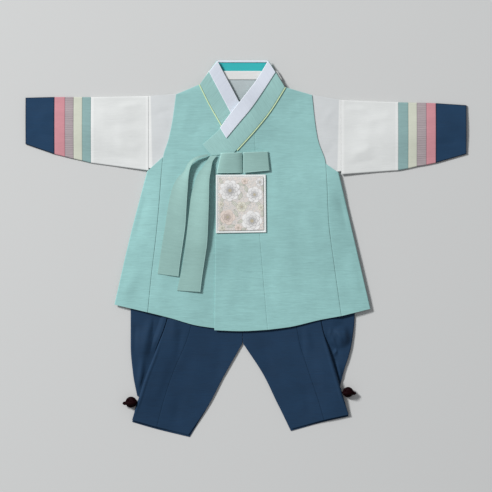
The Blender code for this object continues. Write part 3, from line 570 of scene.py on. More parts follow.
def side_lift(side):
    """How far a side panel stands up, as a function of v, place and share across."""
    line = run_along(LEG_RIDGE[side], np.linspace(0, 1, RIDGE_SAMPLES))
    full, gone = SHELF_WIDTH[side]

    def rise(v, xy, on_top):
        reach = np.linalg.norm(xy - np.array(PUFF_CENTRE[side]), axis=1) / PUFF_RADIUS[side]
        across = ease((on_top - SIDE_FLAT_SHARE) / (1 - SIDE_FLAT_SHARE) * SIDE_STEEP)
        billow = SIDE_LIFT * swell(v, SIDE_RISE) * across
        past_ridge = (np.interp(xy[:, 1], line[:, 1], line[:, 0]) - xy[:, 0]) * MIRROR[side]
        clear = ease((past_ridge - CLEAR[0]) / CLEAR[1])
        shelf = SHELF_HEIGHT * ease((xy[:, 1] - SHELF_Y[side]) / SHELF_RUN[side])
        shelf = shelf * (1 - ease((past_ridge - full) / gone))
        puff = PUFF_HEIGHT[side] * np.clip(1 - reach ** 2, 0, 1) ** 2
        folds = creases(xy, PANEL_FOLDS[side]) * ease((past_ridge - FOLDS_CLEAR[0]) / FOLDS_CLEAR[1])
        return np.maximum(np.maximum(puff, shelf * clear) + billow + folds, 0.0)
    return rise


for side in SIDES:
    piece = folded(f"trousers_side_{side}_cloth", navy, LEGS[side]["side_seam"], LEG_SIDE[side],
                   RETURN_SHARE, (0, on_back), 150, side_lift(side), PANEL_COUNTS)
    fit(piece, "trousers")
lay(*[band_between(LEG_SIDE[side], LEGS[side]["side_seam"]) for side in SIDES])

# Ankle knots
# Each leg is gathered by a maroon satin cord, tied in a small round knot that sits on the
# floor beside the ankle.
MAROON = (0.0082, 0.001, 0.0018)
KNOT = {"right": (-183.9, -245.6, 10), "left": (163.4, -229.6, 9.4)}    # X, Y, radius
KNOT_CORD = 0.33         # the cord's radius, as a share of the knot's
KNOT_SEAT = 0.72         # height of its middle, and radius of its core, as shares of its radius
KNOT_CORE = 0.54
KNOT_SQUASH = 0.8
KNOT_TURNS = ((0.3, 0, 0.92), (1.2, 1.1, 0.8), (1.35, 3.2, 1), (1, 5.2, 0.86))    # tilt, heading, size
TAIL = {"thick": 0.9, "long": 1.5, "out": 0.94, "down": 0.18}    # the end of the cord
RING_SIDES = 10
RING_STEPS = 28


def satin(name, colour, roughness, sheen=0.2, grain=0.02, gloss=0.4):
    """A smooth satin with a faint grain along its threads."""
    return woven(name, colour, slub=grain, bump=0.00003, sheen=sheen, gloss=gloss, roughness=roughness)


def knot(side, material):
    """A lumpy ball of crossed cords with one end out, pressed flat where it sits."""
    x, y, radius = KNOT[side]
    cord = radius * KNOT_CORD
    bm = bmesh.new()
    for vert in bmesh.ops.create_icosphere(bm, subdivisions=3, radius=radius * KNOT_CORE)["verts"]:
        vert.co.z *= KNOT_SQUASH
    for vert in bmesh.ops.create_icosphere(bm, subdivisions=3, radius=cord * TAIL["thick"])["verts"]:
        vert.co.x = vert.co.x * TAIL["long"] - MIRROR[side] * radius * TAIL["out"]
        vert.co.y -= radius * TAIL["down"]
    for tilt, heading, size in KNOT_TURNS:
        before = set(bm.verts)
        ring = bmesh.ops.create_circle(bm, segments=RING_SIDES, radius=cord)["verts"]
        for vert in ring:
            vert.co.x += radius - cord
            vert.co.y, vert.co.z = 0.0, vert.co.y
        edges = [edge for edge in bm.edges if edge.verts[0] in ring and edge.verts[1] in ring]
        bmesh.ops.spin(bm, geom=ring + edges, cent=(0, 0, 0), axis=(0, 0, 1), angle=2 * np.pi,
                       steps=RING_STEPS, use_merge=True)
        cos_t, sin_t, cos_h, sin_h = np.cos(tilt), np.sin(tilt), np.cos(heading), np.sin(heading)
        for vert in set(bm.verts) - before:
            px, py, pz = vert.co * size
            py, pz = py * cos_t - pz * sin_t, py * sin_t + pz * cos_t
            px, py = px * cos_h - py * sin_h, px * sin_h + py * cos_h
            vert.co = (px, py, pz * KNOT_SQUASH)
    for vert in bm.verts:
        vert.co.z = max(vert.co.z + radius * KNOT_SEAT, 0.0)
        vert.co = (vert.co.x * MM + x * MM, vert.co.y * MM + y * MM, vert.co.z * MM)
    bmesh.ops.recalc_face_normals(bm, faces=bm.faces)
    return made_of(bm, f"ankle_knot_{side}_cord", material)


maroon = satin("maroon cord", MAROON, 0.7, 0.0, gloss=0.05)
for side in SIDES:
    fit(knot(side, maroon), "knot", turn=0.0)

# Trouser fronts
# The front of each leg is two panels with a seam between them. The outer one ends in a soft
# ridge, where the cloth is folded under over the side panel.
FRONT_LEG_HEM_RISE = 3.2
FRONT_LEG_HEM_IN = 1.5
RIDGE_LIFT = 3.6
RIDGE_RISE = (0.12, 0.26, 0.46)
RIDGE_RETURN = 18.0
RIDGE_RETURN_SHARE = 0.35
RIDGE_LIP = 0.9          # the folded edge itself turns up a little more, at these shares of the leg
LIP_RISE = (0.1, 0.3, 0.42)
LIP_SHARE = 0.1          # and of its width
FRONT_FOLDS = (
    (-112, -100, -118, -152, 7, 1.3), (-100, -118, -112, -190, 5, -0.8), (-128, -176, -146, -246, 8, 0.7),
    (-62, -150, -96, -262, 13, 0.8), (-36, -140, -52, -220, 9, -0.7), (-104, -226, -118, -284, 7, -0.6),
    (96, -124, 101, -166, 6, 1.2), (88, -130, 94, -176, 4, -0.9), (112, -168, 132, -236, 8, 0.7),
    (48, -146, 82, -250, 13, 0.8), (24, -140, 44, -206, 8, -0.6), (92, -214, 104, -272, 7, -0.6))

on_return = lay(*[band_between(LEG_RIDGE[side], shifted(LEG_RIDGE[side], MIRROR[side] * RIDGE_RETURN))
                  for side in SIDES])
for side in SIDES:
    parts = LEGS[side]
    inward = MIRROR[side]
    seam = LEG_SEAM[side]
    front_seam = (tuple(np.add(seam[0], (0.0, FRONT_LEG_HEM_RISE))), *seam[1:])
    ridge = (tuple(np.add(parts["ridge"][0], (0.0, FRONT_LEG_HEM_RISE))), *parts["ridge"][1:])
    inner_run = (tuple(np.add(parts["inner"][0], (-inward * FRONT_LEG_HEM_IN, FRONT_LEG_HEM_RISE))),
                 *parts["inner"][1:])

    def ridge_lift(v, xy, on_top):
        lip = RIDGE_LIP * swell(v, LIP_RISE) * ease((on_top - 1 + LIP_SHARE) / LIP_SHARE)
        return RIDGE_LIFT * swell(v, RIDGE_RISE) * ease(on_top) + lip + creases(xy, FRONT_FOLDS)
    piece = folded(f"trousers_outer_front_{side}_cloth", navy, shifted(front_seam, -inward * SEAM_GAP), ridge,
                   RIDGE_RETURN_SHARE, (on_return - 1, on_return), 120, ridge_lift, (40, 14, 10))
    fit(piece, "trousers")
    piece = flat(f"trousers_front_{side}_cloth", navy, band_between(front_seam, inner_run), on_return, 44, 120,
                 table=FRONT_FOLDS)
    fit(piece, "trousers")

# Waistband, front half
# The same band in front, sewn to the top of the trouser fronts.
piece = flat("waistband_front_cloth", navy, waist, on_return, 60, 8)
fit(piece, "trousers")
on_trousers = lay(*whole_legs, waist)

# Overcoat back
# The back of the sleeveless overcoat, one wide panel of mint silk blend, which lies over the
# trousers. Its hem, side folds and armholes are where the fronts end as well.
MINT = (0.285, 0.523, 0.51)
MINT_EDGE = (0.32, 0.57, 0.555)
SIDE_FOLD = {"right": ((-210.8, -89.5), (-187.1, 14), (-158.6, 123.6)),
             "left": ((199.4, -96.3), (173.7, 14), (149, 121.5))}
SIDE_SEAM = {"right": ((-157.2, -101.9), (-151.3, -42), (-144.1, 17.2), (-139, 70), (-132.7, 147)),
             "left": ((152.4, -107.8), (139.1, -12.6), (132.1, 42.5), (127.6, 136))}
ARMHOLE = {"right": ((-132.7, 147), (-124.1, 175.6), (-118, 204.7), (-112.1, 247.3)),
           "left": ((127.6, 136), (115.3, 174.2), (110.6, 201.7), (105.8, 246.3))}
BACK_HEM = ((-170, -98), (-89.7, -117.5), (0, -129.5), (86.3, -119.5), (160, -103.5))
BACK_NECK = ((-112.1, 247), (-66, 262), (0, 259), (56, 258.5), (105.8, 245.8))

BACK_FOLDS = (
    (-150, -60, -60, -96, 8, 0.3), (-120, 40, -30, -30, 11, -0.3), (20, -110, 120, -40, 9, 0.3),
    (60, 60, 118, 190, 10, -0.3), (-90, 230, -20, 120, 12, 0.3), (-20, 20, 50, -60, 7, -0.25))

mint = woven("mint silk", MINT, MINT_EDGE, 0.6, slub=0.075, mottle=0.045)


def coat_body(edges):
    """The coat's back between two side edges, with its hem and neck."""
    return patch((edges["right"][0], *BACK_HEM[1:-1], edges["left"][0]),
                 (edges["right"][-1], *BACK_NECK[1:-1], edges["left"][-1]), edges["right"], edges["left"])


back_edges = {}
for side in SIDES:
    edge = between(SIDE_FOLD[side], SIDE_SEAM[side], RETURN_SHARE + BACK_SEAM_SHARE)
    back_edges[side] = (*shifted(edge[:-1], MIRROR[side] * SEAM_GAP), *ARMHOLE[side][1:])
piece = flat("coat_back_cloth", mint, coat_body(back_edges), on_trousers, 70, 90, table=BACK_FOLDS)
fit(piece, "coat")
on_coat_back = lay(coat_body({side: (*SIDE_FOLD[side], *ARMHOLE[side][1:]) for side in SIDES}))

# Back of the collar
# The stand of the collar behind the neck, lined with teal satin. The white strip that edges
# the collar shows along its top as a thin fold.
TEAL = (0.026, 0.43, 0.445)
STRIP_WHITE = (0.64, 0.68, 0.76)
STRIP_EDGE = (0.78, 0.82, 0.9)
TRIM_MARGIN = 6.0
TRIM_RAMP = 42.0
COLLAR_BACK = ((-45.6, 301.7), (35, 301.7), (-62, 262.6), (54, 259.6))
BACK_FOLD_HEIGHT = 3.0
BACK_FOLD_IN = 0.8
BACK_FOLD_SLANT = 0.42

teal = satin("teal satin", TEAL, 0.45, 0.1)
white_satin = woven("white satin strip", STRIP_WHITE, STRIP_EDGE, 0.9, slub=0.02, mottle=0.02, bump=0.00005)
collar_back = quad(*COLLAR_BACK)
piece = flat("collar_back_cloth", teal, collar_back, on_coat_back, 50, 20)
on_collar_back = lay(collar_back, margin=TRIM_MARGIN, ramp=TRIM_RAMP)
(left_x, top_y), (right_x, _) = COLLAR_BACK[:2]
fold_low = top_y - BACK_FOLD_HEIGHT
fold_slant = BACK_FOLD_HEIGHT * BACK_FOLD_SLANT
back_fold = flat("strip_back_cloth", white_satin,
                 quad((left_x + BACK_FOLD_IN, top_y), (right_x - BACK_FOLD_IN, top_y),
                      (left_x - fold_slant, fold_low), (right_x + fold_slant, fold_low)),
                 on_collar_back, 40, 4, strip=True)
fit(back_fold, "strip")
fit(piece, "collar_back")

# Basting of the collar's back fold
# Short white stitches hold the strip's fold down along the top of the collar.
THREAD_WHITE = (0.74, 0.75, 0.77)
STITCH_RADIUS = 0.22
STITCH_LENGTH = 1.9
STITCH_PITCH = 4.6
STITCH_AIM = 0.002       # a stitch points along this share of the run to each side of it
BASTE_UP = 0.7
BASTE_IN = 1.0

thread = satin("white sewing thread", THREAD_WHITE, 0.5, 0.0)


def stitches(name, run, level, extra=0.0, pitch=STITCH_PITCH):
    """Short stitches along a run, half sunk in the top of the cloth at a level of the pile."""
    count = int(run_length(run) / pitch)
    share = (np.arange(count) + 0.5) / count
    middle = run_along(run, share)
    way = run_along(run, share + STITCH_AIM) - run_along(run, share - STITCH_AIM)
    bm = bmesh.new()
    for (x, y), (way_x, way_y), z in zip(middle, way, pile(middle, level) + WALL + extra):
        turn = np.arctan2(way_y, way_x)
        for vert in bmesh.ops.create_uvsphere(bm, u_segments=6, v_segments=4, radius=STITCH_RADIUS)["verts"]:
            along = vert.co.z / STITCH_RADIUS * STITCH_LENGTH / 2
            side, high = vert.co.x, vert.co.y
            vert.co = ((x + along * np.cos(turn) - side * np.sin(turn)) * MM,
                       (y + along * np.sin(turn) + side * np.cos(turn)) * MM, (z + high) * MM)
    bmesh.ops.recalc_face_normals(bm, faces=bm.faces)
    piece = made_of(bm, name, thread)
    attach(piece, "root")


baste_y = fold_low + BASTE_UP
stitches("strip_back_stitches", ((left_x + BASTE_IN, baste_y), (right_x - BASTE_IN, baste_y)), on_collar_back)

# Jacket body
# A white jacket is worn under the coat: a back, a facing inside the neck and two fronts that
# cross. Its body reaches past the coat's armholes to the sleeve seams.
WHITE = (0.7, 0.715, 0.705)
WHITE_EDGE = (0.76, 0.77, 0.76)
# The jacket fronts are greyer than the sleeves of the same silk: painted shade beside the coat's armholes.
YOKE_WHITE_PAINTED_SHADE = (0.614, 0.634, 0.641)
# The jacket's back shows only inside the neck, greyed there: painted shade from the collar bands around it.
NECK_PAINTED_SHADE_GREY = (0.442, 0.5, 0.512)
FACING_WHITE = (0.7, 0.7, 0.69)
FACING = ((-60, 284.8), (50, 284.8), (-68, 271), (58, 271))
JACKET_SEAM_TOP = {"right": (-156, 244.9), "left": (152.6, 238.4)}
JACKET_SEAM_LOW = {"right": (-156, 127.5), "left": (152.6, 122.5)}
JACKET_HEM_Y = 25.0
JACKET_SIDE_X = {"right": -122, "left": 118}
JACKET_SHOULDER = {"right": (-112.1, 248.6), "left": (105.8, 246.9)}
JACKET_NECK = {"right": (-72, 261), "left": (60, 257)}
JACKET_OVERLAP = 26.0
JACKET_MIDDLE_X = -6.0
JACKET_UNDERARM = ((16, -5), (8, 1), (0, 2))
JACKET_WAIST = (8, -22)
JACKET_SIDE_RUN = 40.0
JACKET_FRONT_Y = (130, 170)
JACKET_NECK_IN = 4.0
FRONT_WIDTH = 120.0      # about, from the sleeve seam to a front's inner edge
BODY_FOLDS = (
    (-110, 60, -30, 110, 9, 0.25), (20, 40, 96, 120, 8, -0.25), (-40, 150, 40, 168, 10, 0.25),
    (-96, 210, -24, 180, 8, -0.25))
YOKE_FOLDS = (
    (-148, 236, -124, 196, 6, 0.35), (-150, 176, -126, 158, 5, -0.3), (-147, 214, -118, 222, 4, -0.3),
    (146, 230, 118, 196, 6, 0.35), (146, 168, 124, 150, 5, -0.3), (144, 206, 112, 214, 4, -0.3),
    (-100, 40, -40, 96, 9, 0.25), (30, 50, 100, 108, 9, -0.25))


def jacket_edge(side):
    """The side of the jacket's body, from its hem to the sleeve seam and the shoulder."""
    x = JACKET_SIDE_X[side]
    seam_x, low_y = JACKET_SEAM_LOW[side]
    waist_in, waist_down = JACKET_WAIST
    underarm = [(seam_x + MIRROR[side] * step_in, low_y + step_up) for step_in, step_up in JACKET_UNDERARM]
    return ((x, JACKET_HEM_Y), (x, JACKET_HEM_Y + JACKET_SIDE_RUN),
            (x - MIRROR[side] * waist_in, low_y + waist_down), *underarm, JACKET_SEAM_TOP[side])


def jacket_back():
    right, left = jacket_edge("right"), jacket_edge("left")
    neck_y = FACING[0][1]
    top = (right[-1], JACKET_SHOULDER["right"], BACK_NECK[1], (FACING[0][0], neck_y),
           (FACING[1][0], neck_y), BACK_NECK[3], JACKET_SHOULDER["left"], left[-1])
    return patch((right[0], left[0]), top, right, left)


def jacket_front(side):
    edge = jacket_edge(side)
    inner_x = JACKET_MIDDLE_X + MIRROR[side] * JACKET_OVERLAP
    neck = JACKET_NECK[side]
    top = (edge[-1], JACKET_SHOULDER[side], neck)
    slant_y, middle_y = JACKET_FRONT_Y
    inner = ((inner_x, JACKET_HEM_Y), (inner_x, slant_y),
             (JACKET_MIDDLE_X + MIRROR[side] * JACKET_NECK_IN, middle_y), neck)
    if side == "right":
        return patch((edge[0], inner[0]), top, edge, inner)
    return patch((inner[0], edge[0]), tuple(reversed(top)), inner, edge)


white = woven("white silk", YOKE_WHITE_PAINTED_SHADE, WHITE_EDGE, 4.7, slub=0.012, mottle=0.028)
neck_painted_shade = woven("white silk inside the neck", NECK_PAINTED_SHADE_GREY, NECK_PAINTED_SHADE_GREY, 0.6, slub=0.012, mottle=0.05)
facing_white = woven("neck facing silk", FACING_WHITE, WHITE_EDGE, 0.8, slub=0.012, mottle=0.02)
# The back is cut from the grey silk: painted shade inside the neck.
piece = flat("jacket_back_cloth", neck_painted_shade, jacket_back(), on_collar_back, 90, 70, table=BODY_FOLDS)
fit(piece, "jacket")
on_jacket_back = lay(jacket_back())
facing = quad(*FACING)
piece = flat("jacket_facing_cloth", facing_white, facing, on_jacket_back, 40, 8)
fit(piece, "jacket")
on_facing = lay(facing, margin=TRIM_MARGIN, ramp=TRIM_RAMP)
piece = flat("jacket_front_right_cloth", white, jacket_front("right"), on_facing, 60, 90, table=YOKE_FOLDS,
             gap=lambda u, v: u * FRONT_WIDTH)
fit(piece, "jacket")
on_under_front = lay(jacket_front("right"))
piece = flat("jacket_front_left_cloth", white, jacket_front("left"), on_under_front, 60, 90, table=YOKE_FOLDS,
             gap=lambda u, v: (1 - u) * FRONT_WIDTH)
fit(piece, "jacket")
on_jacket = lay(jacket_front("left"))

# Sleeves
# Each sleeve is a flat tube: a long white piece, four narrow colour bands and a navy cuff,
# sewn end to end. The bands' cloths differ, and the mauve one is ribbed.
BAND_MINT = (0.25, 0.395, 0.39)
CREAM = (0.6, 0.62, 0.52)
MAUVE = (0.39, 0.33, 0.345)
PINK = (0.585, 0.258, 0.292)
CUFF_NAVY = (0.012, 0.043, 0.0965)
CUFF_EDGE = (0.0085, 0.022, 0.048)
SLEEVE_FOLD = 1.6        # radius of a sleeve's folded edges
STRAIGHT_SHARE = 0.76    # share of a sleeve ring's points on its flat walls
SLEEVE_TURN = 0.2        # radius of its turned ends
SLEEVE_CALM = 6          # creases fade over one part in so many from the middle to a folded edge
SLEEVE_PUFF = 3.2
SLEEVE_PUFF_FULL = 0.25
SLEEVE_PUFF_END = 0.4
SLEEVE_ROWS = {
    "right": (("sleeve", -156, 244.8, 125.2), ("band_mint", -248.6, 243, 137.6),
              ("band_cream", -262.5, 243.1, 141.1), ("band_mauve", -276.5, 243.3, 144.2),
              ("band_pink", -290.2, 243.3, 147.6), ("cuff", -307, 243.3, 151.6),
              ("end", -353.4, 242.2, 167.6)),
    "left": (("sleeve", 152.6, 238.3, 119), ("band_mint", 244, 234.8, 125.6),
             ("band_cream", 260, 234.5, 128.6), ("band_mauve", 274, 234.2, 131.9),
             ("band_pink", 289.1, 233.9, 134.4), ("cuff", 304.2, 233.4, 137.6),
             ("end", 353.4, 230.2, 151.8))}
SLEEVE_SECTIONS = {"sleeve": 50, "band_mint": 10, "band_cream": 10, "band_mauve": 10, "band_pink": 10,
                   "cuff": 30}
SLEEVE_FOLDS = (
    (-164, 232, -206, 226, 5, 0.7), (-160, 206, -232, 196, 9, -0.7), (-166, 160, -214, 172, 7, 0.8),
    (-160, 142, -226, 152, 4.5, -0.5), (-196, 214, -242, 218, 6, 0.5), (-262, 216, -330, 222, 8, 0.5),
    (-300, 178, -346, 186, 6, -0.5), (-312, 232, -338, 196, 9, 0.5), (158, 228, 196, 220, 5, 0.7),
    (158, 198, 226, 190, 9, -0.7), (164, 150, 206, 164, 7, 0.8), (158, 136, 218, 144, 4.5, -0.5),
    (190, 206, 238, 212, 6, 0.5), (258, 206, 322, 214, 8, 0.5), (300, 166, 346, 176, 6, -0.5),
    (310, 222, 336, 184, 9, 0.5))
UNDER_FOLDS = (
    (-170, 222, -236, 206, 5, 0.35), (-176, 168, -250, 178, 7, 0.3), (-268, 198, -340, 212, 6, 0.35),
    (172, 214, 228, 196, 5, 0.35), (168, 158, 246, 166, 7, 0.3), (262, 190, 338, 204, 6, 0.35))

sleeve_cloths = {
    "sleeve": woven("white sleeve silk", WHITE, WHITE_EDGE, 4.7, slub=0.012, mottle=0.03),
    "band_mint": woven("mint sleeve band", BAND_MINT, (0.215, 0.345, 0.340), 0.6, slub=0.06, mottle=0.03),
    "band_cream": woven("cream sleeve band", CREAM, (0.52, 0.54, 0.46), 0.6, slub=0.015, mottle=0.03),
    "band_mauve": woven("mauve ribbed band", MAUVE, (0.30, 0.24, 0.27), 0.6, slub=0.08, mottle=0.03, rib=0.06,
                        pitch=0.0029),
    "band_pink": woven("pink sleeve band", PINK, (0.50, 0.22, 0.26), 0.6, slub=0.04, mottle=0.03),
    "cuff": woven("navy cuff", CUFF_NAVY, CUFF_EDGE, 1.5, slub=0.05, mottle=0.08, sheen=0.03, gloss=0.2)}


def tube(name, material, rows, level, around, along, puff, ends_only=False):
    """A flattened sleeve through rows of (X, top Y, bottom Y); puff is a function of X.

    ends_only leaves the sleeve's long folds out of what counts as its edges.
    """
    rows = np.array(rows, float)
    order = np.argsort(rows[:, 0])

    def edges_at(x):
        return [np.interp(x, rows[order, 0], rows[order, column]) for column in (1, 2)]

    def surface(inset):
        def points(u, v):
            x = rows[0, 0] + (rows[-1, 0] - rows[0, 0]) * v
            high, low = edges_at(x)
            middle = (high + low) / 2
            reach = (high - low) / 2 - SLEEVE_FOLD
            part = u * 2 % 1
            upper = (u >= 0.5 - TINY) & (u < 1 - TINY)
            side = np.where(upper, 1.0, -1.0)
            straight = np.clip(part / STRAIGHT_SHARE, 0, 1)
            turn = np.clip((part - STRAIGHT_SHARE) / (1 - STRAIGHT_SHARE), 0, 1)
            s = side * (1 - 2 * straight)
            end_radius = SLEEVE_FOLD - inset
            turning = part > STRAIGHT_SHARE
            y = middle + s * reach - side * np.where(turning, end_radius * np.sin(np.pi * turn), 0.0)
            xy = np.column_stack((x, y))
            base = pile(xy, level)
            bump = (1 - s ** 2) ** 2 * puff(x)
            end_gap = np.minimum(v, 1 - v) * abs(rows[-1, 0] - rows[0, 0])
            wall = EDGE_ROUND * np.exp(-end_gap / EDGE_REACH) * (inset == 0.0)
            calm = ease((1 - np.abs(s)) * SLEEVE_CALM)
            bump += creases(xy, SLEEVE_FOLDS) * calm
            wrinkle = creases(xy, UNDER_FOLDS) * calm
            z = np.where(turning, SLEEVE_FOLD + side * end_radius * np.cos(np.pi * turn),
                         np.where(upper, 2 * SLEEVE_FOLD - inset + bump - wall, inset + wrinkle))
            return np.column_stack((x, y, base + z))
        return points
    piece = cloth(name, material, surface(0.0), surface(WALL), around, along, True, (0.0, CROWD[1]))

    def gap(u, v):
        ends = np.minimum(v, 1 - v) * abs(rows[-1, 0] - rows[0, 0])
        if ends_only:
            return ends
        x, y = np.array([vert.co[:2] for vert in piece.data.vertices]).T / MM
        high, low = edges_at(x)
        return np.minimum(ends, np.minimum(high - y, y - low))
    mark_edges(piece.data, gap)
    return piece


for side in SIDES:
    rows = SLEEVE_ROWS[side]
    inward = MIRROR[side]
    start_x, end_x = rows[0][1], rows[-1][1]

    def puff(x):
        share = (x - start_x) / (end_x - start_x)
        sink = (1 - SLEEVE_PUFF_END) * ease(share * 2 - 1)
        return SLEEVE_PUFF * ease(share / SLEEVE_PUFF_FULL) * (1 - sink)
    for (name, *row), (next_name, *next_row) in zip(rows[:-1], rows[1:]):
        gap = SEAM_GAP if next_name != "end" else 0.0
        own_gap = SEAM_GAP if name == "sleeve" else SEAM_GAP / 2
        near = [row[0] - inward * own_gap, *row[1:]]
        far = [next_row[0] + inward * gap / 2, *next_row[1:]]
        piece = tube(f"{name}_{side}_cloth", sleeve_cloths[name], (near, far), on_collar_back, 120,
                     SLEEVE_SECTIONS[name], puff, name == "sleeve")
        fit(piece, "jacket" if name == "sleeve" else name, turn=SLEEVE_TURN)

# Overcoat right front and side
# The wearer's right front runs under the other one. Its side panel turns round the fold at
# the coat's side and back underneath to the seam with the back.
UNDER_EDGE = ((45, -126), (45, 20), (22, 100), (-12, 158))
NECK_EDGE = {"right": ((-12, 158), (-44, 218), (-68, 261.5)),
             "left": ((14, 188), (31, 226), (55, 261))}
SHOULDER = {"right": ((-112.1, 247.3), (-68, 265.6)),
            "left": ((55, 260.8), (105.8, 246.3))}
FRONT_HEM = {"right": ((-157.2, -101.9), (-121.7, -110.8), (-73.7, -123.9), (-25, -129), (45, -126)),
             "left": ((34.8, -129.9), (70.3, -125.2), (118.3, -114), (152.4, -107.8))}
OVERLAP_SEAM = ((34.8, -129.9), (26.5, -34), (21.8, 24.1), (15, 155.8), (14, 188))
COAT_FOLDS = (
    (-196, -82, -168, -20, 9, 0.8), (-178, 8, -158, 96, 7, -0.6), (-140, -92, -128, -16, 10, 0.5),
    (-136, 96, -104, 150, 9, 0.5), (-112, 180, -84, 240, 8, 0.5), (-92, 172, -60, 214, 6, -0.35),
    (-60, -118, -54, -70, 5, -0.3), (-34, -122, -20, -44, 12, 0.6), (2, -96, 16, 4, 9, -0.35),
    (60, -112, 46, -20, 12, 0.7), (88, -104, 74, 30, 9, -0.4), (112, -40, 96, 70, 11, 0.6),
    (122, 60, 84, 140, 10, 0.6), (108, 150, 62, 196, 9, -0.4), (96, 232, 60, 214, 8, 0.5),
    (50, 60, 44, 150, 8, 0.45), (186, -86, 162, -8, 9, 0.8), (164, 20, 146, 92, 7, -0.6),
    (140, -98, 130, -40, 7, -0.4), (-20, -12, -30, 20, 6, -0.25))


def stretch(points, share, count=9):
    """The first share of a run, as a run of its own."""
    return as_run(run_along(points, np.linspace(0, share, count)))


def coat_front(side):
    outer = (*SIDE_SEAM[side], *ARMHOLE[side][1:])
    if side == "right":
        inner = (*UNDER_EDGE, *NECK_EDGE[side][1:-1], SHOULDER[side][1])
        return patch(FRONT_HEM[side], SHOULDER[side], outer, inner)
    inner = (*OVERLAP_SEAM, *NECK_EDGE[side][1:-1], SHOULDER[side][0])
    return patch(FRONT_HEM[side], SHOULDER[side], inner, outer)


def coat_side(side, levels):
    front = (*SIDE_SEAM[side], *ARMHOLE[side][1:])
    seam = stretch(front, run_length(SIDE_SEAM[side]) / run_length(front))
    return folded(f"coat_side_{side}_cloth", mint, shifted(seam, -MIRROR[side] * LAYER_GAP),
                  SIDE_FOLD[side], RETURN_SHARE, levels, 90, table=COAT_FOLDS)


piece = flat("coat_front_right_cloth", mint, coat_front("right"), on_jacket, 70, 120, table=COAT_FOLDS)
fit(piece, "coat")
piece = coat_side("right", (on_trousers, on_jacket))
fit(piece, "coat")
on_coat_right = lay(coat_front("right"))

# Right half of the collar
# A mint band with a thin yellow-green piping along its outer seam and a white strip basted
# along its inner edge. It disappears under the left half where the fronts cross.
PIPING = (0.64, 0.8, 0.48)
MINT_BAND = (0.306, 0.522, 0.498)
COLLAR_INNER = {"right": ((-46.5, 301.7), (-36.9, 282.8), (-24.1, 258.8), (-11, 234), (10, 196)),
                "left": ((35.9, 301.7), (17.5, 270.8), (-4.9, 241.2), (-24.1, 217.2), (-41.7, 192.6),
                         (-69.7, 167.1))}
COLLAR_OUTER = {"right": ((-73.7, 263.6), (-57.7, 231.6), (-39.6, 200.2), (-22, 170)),
                "left": ((62, 258.8), (38.3, 221.2), (14.3, 190.8), (-15.5, 157.7), (-18.8, 154),
                         (-40, 150.5), (-55.3, 148.9))}
STRIP_INNER = {"right": ((-45.9, 301), (-36.4, 282.8), (-23.6, 258.8), (-10.5, 234), (2, 211)),
               "left": ((35.3, 301), (17, 270.8), (-5.4, 241.2), (-24.5, 217.2), (-41.7, 193.5))}
STRIP_OUTER = {"right": ((-59.3, 283), (-42, 250), (-24.9, 218), (-15, 199.5)),
               "left": ((47.1, 282.4), (25.5, 249.2), (6.3, 222), (-9.7, 202.8), (-31.3, 176.7))}
STRIP_BASTE = (("inner", 0.06), ("outer", 0.94))    # where stitches run, as a share of the width
BASTE_RUN = (0.02, 0.97)
BASTE_POINTS = 16
PIPING_WIDTH = 1.7
PIPING_POINTS = 13
PIPING_END = {"right": 0.72, "left": 0.75}

mint_band = woven("mint collar silk", MINT_BAND, MINT_EDGE, 0.6, slub=0.07, mottle=0.02)
piping_satin = satin("yellow-green piping satin", PIPING, 0.5)


def piping(side):
    """A narrow cord of cloth along the outer seam of a collar band."""
    line = run_along(COLLAR_OUTER[side], np.linspace(0.0, PIPING_END[side], PIPING_POINTS))
    way = np.gradient(line, axis=0)
    way /= np.linalg.norm(way, axis=1)[:, None]
    normal = np.column_stack((way[:, 1], -way[:, 0])) * MIRROR[side]
    return band_between(as_run(line + normal * LAYER_GAP), as_run(line + normal * (LAYER_GAP + PIPING_WIDTH)))


def collar_half(side, level, counts):
    """One half of the collar on the pile: its band, its piping and its white strip."""
    band = band_between(COLLAR_INNER[side], COLLAR_OUTER[side])
    band_piece = flat(f"collar_band_{side}_cloth", mint_band, band, level, *counts, strip=True)
    cord = flat(f"piping_{side}_cloth", piping_satin, piping(side), level, 4, counts[1], strip=True)
    fit(cord, "piping")
    fit(band_piece, "coat")
    on_band = lay(band, margin=TRIM_MARGIN, ramp=TRIM_RAMP)
    strip_place = band_between(STRIP_INNER[side], STRIP_OUTER[side])
    strip_piece = flat(f"strip_{side}_cloth", white_satin, strip_place, on_band, 14, counts[1], strip=True)
    fit(strip_piece, "strip")
    for edge, share in STRIP_BASTE:
        run = strip_place(np.full(BASTE_POINTS, share), np.linspace(*BASTE_RUN, BASTE_POINTS))
        stitches(f"strip_{side}_{edge}_stitches", as_run(run), on_band)
    return on_band, strip_place


on_band_right, strip_place = collar_half("right", on_coat_right, (24, 60))
on_strip_right = lay(strip_place, margin=TRIM_MARGIN, ramp=TRIM_RAMP)

# Overcoat left front, overlap and side
# The wearer's left front lies on top. A separate overlap panel is sewn to its inner edge and
# crosses the chest to the right.
FRONT_EDGE = ((-50.6, -130.6), (-48.9, 14), (-48.1, 100), (-54, 150))
OVERLAP_HEM = ((-50.6, -130.6), (-8, -132.1), (34.8, -129.9))
OVERLAP_TOP = ((-54, 150), (-22, 168), (14, 188))


def overlap_panel():
    seam = shifted(OVERLAP_SEAM, -SEAM_GAP)
    return patch((*OVERLAP_HEM[:-1], seam[0]), (*OVERLAP_TOP[:-1], seam[-1]), FRONT_EDGE, seam)


piece = flat("coat_front_left_cloth", mint, coat_front("left"), on_strip_right, 60, 120, table=COAT_FOLDS)
fit(piece, "coat")
piece = flat("coat_overlap_cloth", mint, overlap_panel(), on_strip_right, 50, 120, table=COAT_FOLDS)
fit(piece, "coat")
piece = coat_side("left", (on_trousers, on_strip_right))
fit(piece, "coat")
on_coat = lay(coat_front("left"), overlap_panel())

# Left half of the collar
# It crosses over the right half and ends square on the chest, where the ribbons are sewn on.
on_band_left, _ = collar_half("left", on_coat, (24, 90))

